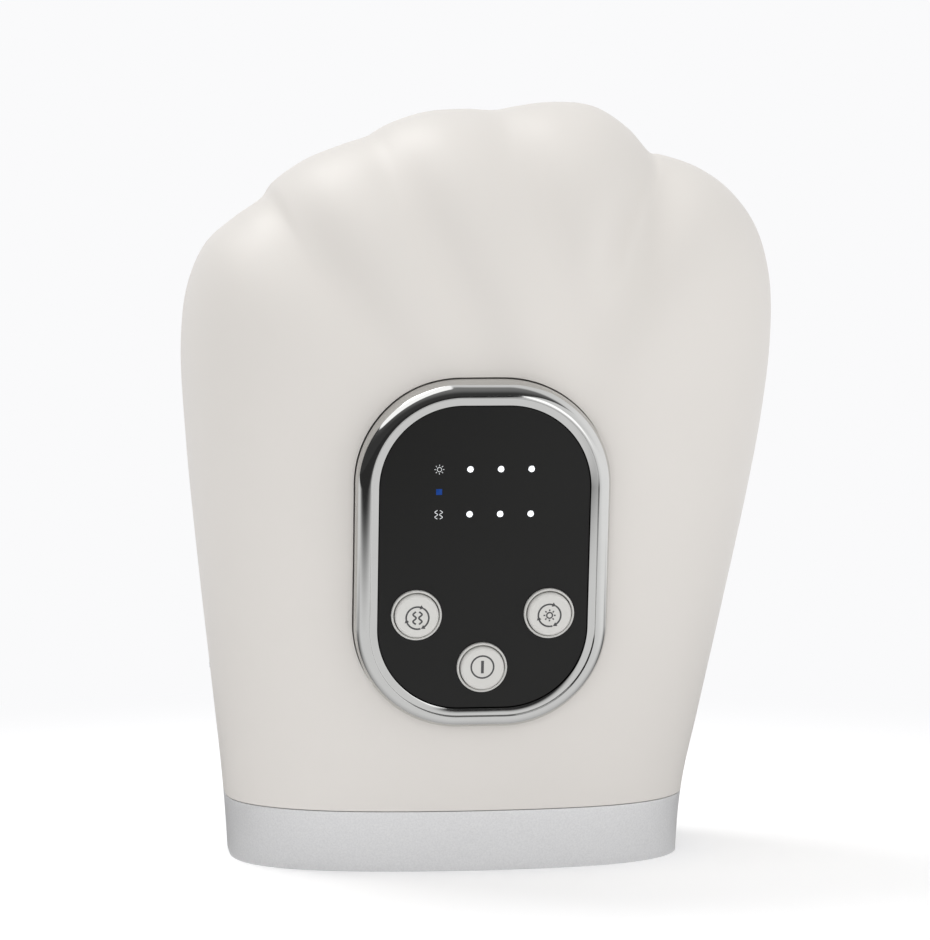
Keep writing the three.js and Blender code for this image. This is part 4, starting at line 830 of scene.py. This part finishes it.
piece("charge_socket_shell", socket_bar(0, socket_mouth, socket_end), zinc_steel,
      ["charge_socket"], cuts=[socket_bar(-SOCKET["wall"], socket_mouth - 1, socket_end - SOCKET["wall"])],
      edge=0.08)
tongue_corners = [
    (x, SOCKET["y"] + side * TONGUE["half_thickness"], SOCKET["z"] + side * TONGUE["half_width"])
    for x, side in ((socket_mouth + TONGUE["sunk"], -1), (socket_end - SOCKET["wall"] / 2, 1))]
piece("charge_socket_tongue", block(*tongue_corners), inner_black, edge=0.15)

# Throat and the soft layers round the hand space
HAND_FRONT, HAND_BACK = -16, 31
HAND_MIDDLE = (HAND_FRONT + HAND_BACK) / 2
HAND_DEPTH = HAND_BACK - HAND_FRONT
MOUTH = (56.3, HAND_DEPTH / 2, 12)
THROAT = (4, 6, 14.2)  # plate's underside and top, and the lip's top
SECTION_HALF_WIDTH = 74  # near the plate


def section_edges(height, inset):
    """Edges of the housing's inside at a height, laid flat"""
    bm = merge(crown_sheet(True), crown_sheet(False))
    middle = Vector((CROWN.x, 0, height))
    bmesh.ops.bisect_plane(bm, geom=whole(bm), plane_co=middle, plane_no=(0, 0, 1), clear_outer=True,
                           clear_inner=True)
    bmesh.ops.remove_doubles(bm, verts=bm.verts, dist=1e-2)
    for vert in bm.verts:
        out = vert.co - middle
        vert.co = Vector((CROWN.x + out.x * (1 - inset / SECTION_HALF_WIDTH),
                          out.y * (1 - inset / BACK_DEPTH), 0))
    return bm


def make_throat():
    low, high, lip_top = THROAT
    bm = section_edges((low + high) / 2, WALL + SEAT_GAP)
    merge(bm, shifted(soft_frame([(0, 0)], MOUTH, closed=False), 0, HAND_MIDDLE, 0))
    pulled(shifted(filled(bm), 0, 0, low), (0, 0, high - low))
    lip = [(0.05, low + 0.3), (0.02, lip_top - 0.8), (-0.25, lip_top - 0.25), (-1, lip_top),
           (-1.75, lip_top - 0.25), (-2, lip_top - 0.8), (-2, high), (-2.8, high - 0.3), (-2.8, low + 0.3)]
    return merge(bm, shifted(soft_frame(lip, MOUTH), 0, HAND_MIDDLE, 0))


piece("throat_plate", make_throat(), inner_white, ["throat_collar"], edge=0.25)

LINER_INSET = 12.4
LINER_BOTTOM = THROAT[2] + 0.3
LINER_TOP = 199
LINER_ROUND = 9
LINER_POWER = 0.4  # squareness of the pocket's section
SLEEVE_SHARE = 0.72  # rows of the sleeve's straight part, then of its rounded end
ROUND_SHARE = 0.12
LINER_GRID = (176, 90)
RIPPLE = 0.35
RIPPLES = 11  # round the sleeve


def make_liner():
    """Knitted pocket: a soft-cornered sleeve with gentle ripples, closed at the fingertips along one seam"""
    closing_share = 1 - SLEEVE_SHARE - ROUND_SHARE
    straight = LINER_TOP - LINER_ROUND - LINER_BOTTOM

    def place(u, v):
        closing = max(v - 1 + closing_share, 0) / closing_share
        turn = pi / 2 * min(max(v - SLEEVE_SHARE, 0) / ROUND_SHARE, 1)
        height = LINER_BOTTOM + straight * min(v / SLEEVE_SHARE, 1) + LINER_ROUND * sin(turn)
        left, right = room(round(height, 2), 0, LINER_INSET)
        opened = smoothstep(height, LINER_BOTTOM, LINER_BOTTOM + 18)
        half_width = (MOUTH[0] + 1) * (1 - opened) + (right - left) / 2 * opened
        half_depth = HAND_DEPTH / 2 + 1.1
        angle = tau * u
        ripple = RIPPLE * (1 + sin(RIPPLES * angle + height / 19)) * smoothstep(height, 24, 70)
        shrink = LINER_ROUND * (1 - cos(turn)) + ripple * (1 - closing)
        shrink += (half_depth - LINER_ROUND) * closing
        across, deep = (copysign(abs(way) ** LINER_POWER, way)
                        for way in (cos(angle), sin(angle)))
        return Vector(((left + right) / 2 * opened + (half_width - shrink) * across,
                       HAND_MIDDLE + (half_depth - shrink) * deep, height))
    return loft(*LINER_GRID, place)


liner_mesh = make_liner()
liner_area = sum(face.calc_area() for face in liner_mesh.faces) * MM ** 2
liner = piece("knitted_pocket", liner_mesh, lining_cloth, ["chamber_liner"], wall=1,
              smooth=60)

BAG_INSET = 14
SOFT_BOTTOM = 26
BAG_CORNER = 14
BAG_SEAM = 4
BAG_RISE = 11  # how far in from the seam the film is fully lifted
PUCKER = 0.14
PUCKER_STEP = 9
BAG_GRID = (72, 60)
FILM = 0.3
UPPER_BAG = (-25.5, -17.5)
BACK_BAG = (33.8, 39.8)
NIPPLE = 2.6


def corner_cut(near_end):
    """How far a rounded corner takes a side in, at a distance from the end"""
    near_end = min(max(near_end, 0), BAG_CORNER)
    return BAG_CORNER - sqrt(BAG_CORNER ** 2 - (BAG_CORNER - near_end) ** 2)


def soft_layer(across, up, bottom, top, y, edge=0):
    """Flat sheet with rounded corners, as far out as the room inside the housing lets it"""
    def place(u, v):
        height = bottom + (top - bottom) * (1 - cos(pi * v)) / 2
        left, right = room(round(height, 2), y, BAG_INSET)
        cut = corner_cut(min(height - bottom, top - height)) + edge
        left, right = left + cut, right - cut
        return Vector((left + (right - left) * (1 - cos(pi * u)) / 2, y, height))
    return loft(across, up, place)


def air_bag(depths, bottom, top, welds, stub_x=None):
    """Two films welded all round and at spots: the air lifts them between, with puckers along the seam"""
    middle, half = sum(depths) / 2, (depths[1] - depths[0]) / 2
    bm = pulled(soft_layer(*BAG_GRID, bottom, top, middle - FILM), (0, 2 * FILM, 0))
    for vert in bm.verts:
        x, z = vert.co.x, vert.co.z
        left, right = room(round(z, 2), middle - FILM, BAG_INSET)
        near = min(z - bottom, top - z)
        cut = corner_cut(near)
        inside = max(min(x - left - cut, right - cut - x, near) - BAG_SEAM, 0)
        swell = sqrt(1 - (1 - min(inside / BAG_RISE, 1)) ** 2)
        wave = 1 + sin(tau * (x + 1.3 * z) / PUCKER_STEP)
        swell *= 1 - PUCKER * exp(-inside / 7) * wave
        for weld_x, weld_z in welds:
            swell *= smoothstep(hypot(x - weld_x, z - weld_z), 3, 13)
        lift = (half - FILM) * swell
        if stub_x is not None and top - z < 9:
            lift = max(lift, sqrt(max((NIPPLE + FILM) ** 2 - (x - stub_x) ** 2, 0)) - FILM)
        vert.co.y += copysign(lift, vert.co.y - middle)
    return bm


def nipple(length):
    """Moulded inlet stub with a bead that holds the tube"""
    neck = NIPPLE - 0.35
    return lathe([(0, 0), (4.4, 0), (4.4, 0.5), (3.1, 1), (neck, 1.6), (neck, length - 1.6),
                  (NIPPLE, length - 1.1), (NIPPLE - 0.5, length), (1.2, length), (1.2, length - 3),
                  (0, length - 3)], SMALL_ROUND)


PALM_TOP, FINGER_BOTTOM, FINGER_TOP, BACK_TOP = 120.98, 134.98, 194, 180
FINGER_STUB_X, BACK_STUB_X = 2.5, 21.5
palm_stub = shifted(moved(nipple(7.1), TO_FRONT), -40.6, -24.9, 113.976)
finger_stub = shifted(nipple(7.9), FINGER_STUB_X, sum(UPPER_BAG) / 2, 190.1)
back_stub = shifted(nipple(7.9), BACK_STUB_X, sum(BACK_BAG) / 2, 176.1)
palm_bag = air_bag(UPPER_BAG, SOFT_BOTTOM, PALM_TOP, [(-22, 74), (22, 74)])
finger_bag = air_bag(UPPER_BAG, FINGER_BOTTOM, FINGER_TOP, [(x, 164) for x in (-30, -2, 28)], FINGER_STUB_X)
back_welds = [(x, z) for z in (76, 130) for x in (-24, 26)]
back_bag = air_bag(BACK_BAG, SOFT_BOTTOM, BACK_TOP, back_welds, BACK_STUB_X)
for name, bag, stub in (("palm_air_bag", palm_bag, palm_stub), ("finger_air_bag", finger_bag, finger_stub),
                        ("back_air_bag", back_bag, back_stub)):
    film = piece(f"{name}_film", bag, bag_tpu, [name], smooth=60)
    piece(f"{name}_inlet", stub, inner_grey, [name])


PAD_BACK = 33.3
PAD_THICKNESS = 0.5
PAD_GRID = (60, 60)
PAD_EDGE = 0.5  # how far the pad keeps inside the air bag's edge
TRACK_SPAN = (36, 170)
TRACK_WIDTH = 1.6
TRACK_INSET = BAG_INSET + 8
TRACK_Y = 32.82  # just behind the pad's front face, so that only the print's rise shows


def heater_trace(rows):
    """Etched heater track, back and forth across the pad"""
    points = []
    for k in range(rows):
        height = TRACK_SPAN[0] + (TRACK_SPAN[1] - TRACK_SPAN[0]) * k / (rows - 1)
        left, right = room(round(height, 2), 33, TRACK_INSET)
        points += [(left, height), (right, height)] if k % 2 else [(right, height), (left, height)]
    bars = [bar(x0, z0, x1, z1, TRACK_WIDTH) for (x0, z0), (x1, z1) in zip(points, points[1:])]
    return shifted(moved(merge(*bars), TO_FRONT), 0, TRACK_Y, 0)


pad_mesh = soft_layer(*PAD_GRID, SOFT_BOTTOM, BACK_TOP, PAD_BACK, PAD_EDGE)
pad_area = sum(face.calc_area() for face in pad_mesh.faces) * MM ** 2
pad = piece("heater_film", pulled(pad_mesh, (0, -PAD_THICKNESS, 0)), pad_film, ["heating_pad"])
# 0.135 m is the pad's widest, and its edges take 1 percent
piece("heater_track", heater_trace(18), heater_foil, ["heating_pad"])

# Finishes of the solids that stay
kept_finishes = {
    "shell_plastic": shell_abs, "satin_silver": silver_lacquer, "chrome_plate": chrome,
    "black_face": panel_black, "cap_plastic": cap_abs, "grey_plastic": inner_grey,
    "white_plastic": inner_white, "black_plastic": inner_black, "clear_light": lit_white,
    "blue_light": lit_blue, "circuit_board": board_mask, "plated_steel": zinc_steel,
    "grey_rubber": tube_silicone, "bag_film": bag_tpu, "pad_film": pad_film, "liner_cloth": lining_cloth,
    "cell_foil": cell_foil, "cable_jacket": cable_pvc,
}
for part in frame["record"]["subparts"]:
    give_finish(frame["nodes"][part["node"]].data, kept_finishes[part["material_slot"]])

# Stage and camera
PALE = linear("#fafafb")
FLOOR_SEEN = (1.18, 1.18, 1.185, 1)  # what the camera sees of the floor, so that it meets the backdrop
FLOOR_SIZE = 30
CARD_RISE = 0.0005


def stage_plane(name, rise, material):
    bm = bmesh.new()
    bmesh.ops.create_grid(bm, x_segments=1, y_segments=1, size=FLOOR_SIZE / 2)
    shifted(bm, 0, 0, rise)
    made = new_object(name, bm)
    give_finish(made.data, material)
    return made


def share_within(tree, source, sides):
    """1 where source is past the full value of every side (direction, start, full), 0 before any start.
    It is measured along the direction, or from the origin outwards where that is None"""
    share = 1
    for direction, start, full in sides:
        way = add_node(tree, "VectorMath", {0: source, 1: direction or (0, 0, 0)},
                       {"operation": "DOT_PRODUCT" if direction else "LENGTH"})
        past = add_node(tree, "MapRange",
                        {"Value": way.outputs["Value"], "From Min": start, "From Max": full},
                        {"interpolation_type": "SMOOTHSTEP"})
        within = add_node(tree, "Math", {0: share, 1: past.outputs[0]}, {"operation": "MULTIPLY"})
        share = within.outputs[0]
    return share


def glow_of(tree, source, glow, fields):
    """Strength of a glow, each field of (sides, strength) laid over the ones before it"""
    for sides, strength in fields:
        mix = add_node(tree, "Mix", {0: share_within(tree, source, sides), 2: glow, 3: strength},
                       {"data_type": "FLOAT"})
        glow = mix.outputs[0]
    return glow


def studio_floor():
    """Pale floor that keeps the object's shadow and runs into the backdrop a hand's length further out"""
    material, tree, where = new_material("studio_floor")
    light = add_node(tree, "LightPath")
    colour = add_node(tree, "Mix", {0: light.outputs["Is Camera Ray"], 6: PALE, 7: FLOOR_SEEN},
                      {"data_type": "RGBA"})
    cloth = add_node(tree, "BsdfDiffuse", {"Color": colour.outputs[2]})
    glow = add_node(tree, "Emission", {"Color": PALE, "Strength": 1})
    fade = share_within(tree, where, [(None, 0.1, 0.42)])
    blend = add_node(tree, "MixShader", {0: fade, 1: cloth.outputs[0], 2: glow.outputs[0]})
    add_node(tree, "OutputMaterial", {"Surface": blend.outputs[0]})
    return material


stage_plane("floor", 0, studio_floor())

world = bpy.data.worlds.new("studio")
bpy.context.scene.world = world
world.use_nodes = True
sky = world.node_tree
sky.nodes.clear()
heading = add_node(sky, "TexCoord").outputs["Generated"]

# What mirrors see: pale walls, brighter on the right, and over them a dark field to the left and overhead,
# a bright ceiling and a small bright window
PALE_SIDE = [((1, 0, 0), 0.6, 0.95)]
OVERHEAD = [((0, 0, 1), 0.3, 1)]
DARK_FIELD = [((-0.701, 0.697, 0.145), -0.83, -0.805), ((-0.574, -0.819, 0), -0.1, 0.15)]
CEILING = [((-0.414, 0.103, 0.905), 0.82, 0.85), ((-1, 0, 0), 0, 0.03)]
WINDOW = [((0.25, -0.965, -0.08), 0.982, 0.988), ((0.982, 0.191, 0), 0, 0.02)]
dusk = glow_of(sky, heading, 0.06, [(OVERHEAD, 0.3)])
mirrored = glow_of(sky, heading, 1,
                   [(PALE_SIDE, 1.2), (DARK_FIELD, dusk), (CEILING, 1.7), (WINDOW, 2)])

ray = add_node(sky, "LightPath")
seen = add_node(sky, "Math",
                {0: ray.outputs["Is Camera Ray"], 1: ray.outputs["Is Transmission Ray"]},
                {"operation": "MAXIMUM"})
ambient = add_node(sky, "Background", {"Color": linear("#ffffff"), "Strength": 0.65})
backdrop = add_node(sky, "Background", {"Color": PALE, "Strength": 1})
reflected = add_node(sky, "Background", {"Color": PALE, "Strength": mirrored})
both = add_node(sky, "MixShader",
                {0: seen.outputs[0], 1: ambient.outputs[0], 2: backdrop.outputs[0]})
every = add_node(sky, "MixShader",
                 {0: ray.outputs["Is Glossy Ray"], 1: both.outputs[0], 2: reflected.outputs[0]})
add_node(sky, "OutputWorld", {"Surface": every.outputs[0]})


def softbox(name, place, size, watts, glossy=False):
    """Lamp that looks at the object; mirrors see it where glossy"""
    lamp = bpy.data.lights.new(f"{name}_softbox", "AREA")
    lamp.shape = "RECTANGLE"
    lamp.size, lamp.size_y = size
    lamp.energy = watts
    made = add_object(lamp.name, lamp)
    made.location = place
    middle = Vector((0, 0, 0.12))
    made.rotation_euler = (middle - made.location).to_track_quat("-Z", "Y").to_euler()
    made.visible_glossy = glossy


softbox("top", (-0.42, 0.38, 1.2), (0.6, 0.45), 4, glossy=True)
softbox("sky", (0.25, -0.3, 1.6), (1.2, 1.2), 2.5)
softbox("fill", (1.3, -1.0, 0.8), (1.2, 1.2), 3.5)
softbox("front", (-0.5, -1.9, 0.35), (1.6, 1.2), 8)
softbox("left", (-1.3, -0.8, 0.8), (0.8, 0.8), 0.8)


# What mirrors see of the floor: brighter on the right, and over that a bright patch in front, dark cloth
# further out on the left, and a dim patch close behind
CARD_RIGHT = [((1, 0, 0), 0.05, 0.3)]
CARD_FRONT = [((0.31, -0.95, 0), 0.55, 0.7), ((0.982, 0.191, 0), -0.015, 0), ((-0.9, -0.436, 0), 0, 0.05)]
CARD_LEFT = [((-0.5, -0.866, 0), 0.24, 0.42), ((-0.982, -0.191, 0), 0.015, 0.035)]
CARD_BEHIND = [((0, 1, 0), -0.09, 0.05), (None, 0.6, 0.16)]


def floor_card():
    """Sheet just over the floor that only mirrors see"""
    material, tree, where = new_material("floor_card")
    glow = glow_of(tree, where, 1,
                   [(CARD_RIGHT, 1.22), (CARD_FRONT, 2), (CARD_LEFT, 0.04), (CARD_BEHIND, 0.12)])
    light = add_node(tree, "Emission", {"Color": PALE, "Strength": glow})
    add_node(tree, "OutputMaterial", {"Surface": light.outputs[0]})
    made = stage_plane("floor_card", CARD_RISE, material)
    for ray_kind in ("camera", "diffuse", "shadow", "transmission", "volume_scatter"):
        setattr(made, f"visible_{ray_kind}", False)


floor_card()

# Camera: fitted to the photograph's outline
CAMERA_TARGET = Vector((-3.282 * MM, SHIFT.y * MM, 0.121))
CAMERA_SIDE = radians(7.5)
CAMERA_RISE = radians(3.1)
lens = bpy.data.cameras.new("camera")
lens.lens = 120.255
lens.sensor_width = 36
lens.clip_end = 100
camera = add_object("camera", lens)
toward = Vector((-sin(CAMERA_SIDE) * cos(CAMERA_RISE),
                 -cos(CAMERA_SIDE) * cos(CAMERA_RISE), sin(CAMERA_RISE)))
camera.location = CAMERA_TARGET + toward  # the photograph fits a distance of one metre
camera.rotation_euler = toward.to_track_quat("Z", "Y").to_euler()
bpy.context.scene.camera = camera
bpy.context.scene.view_settings.view_transform = "Standard"
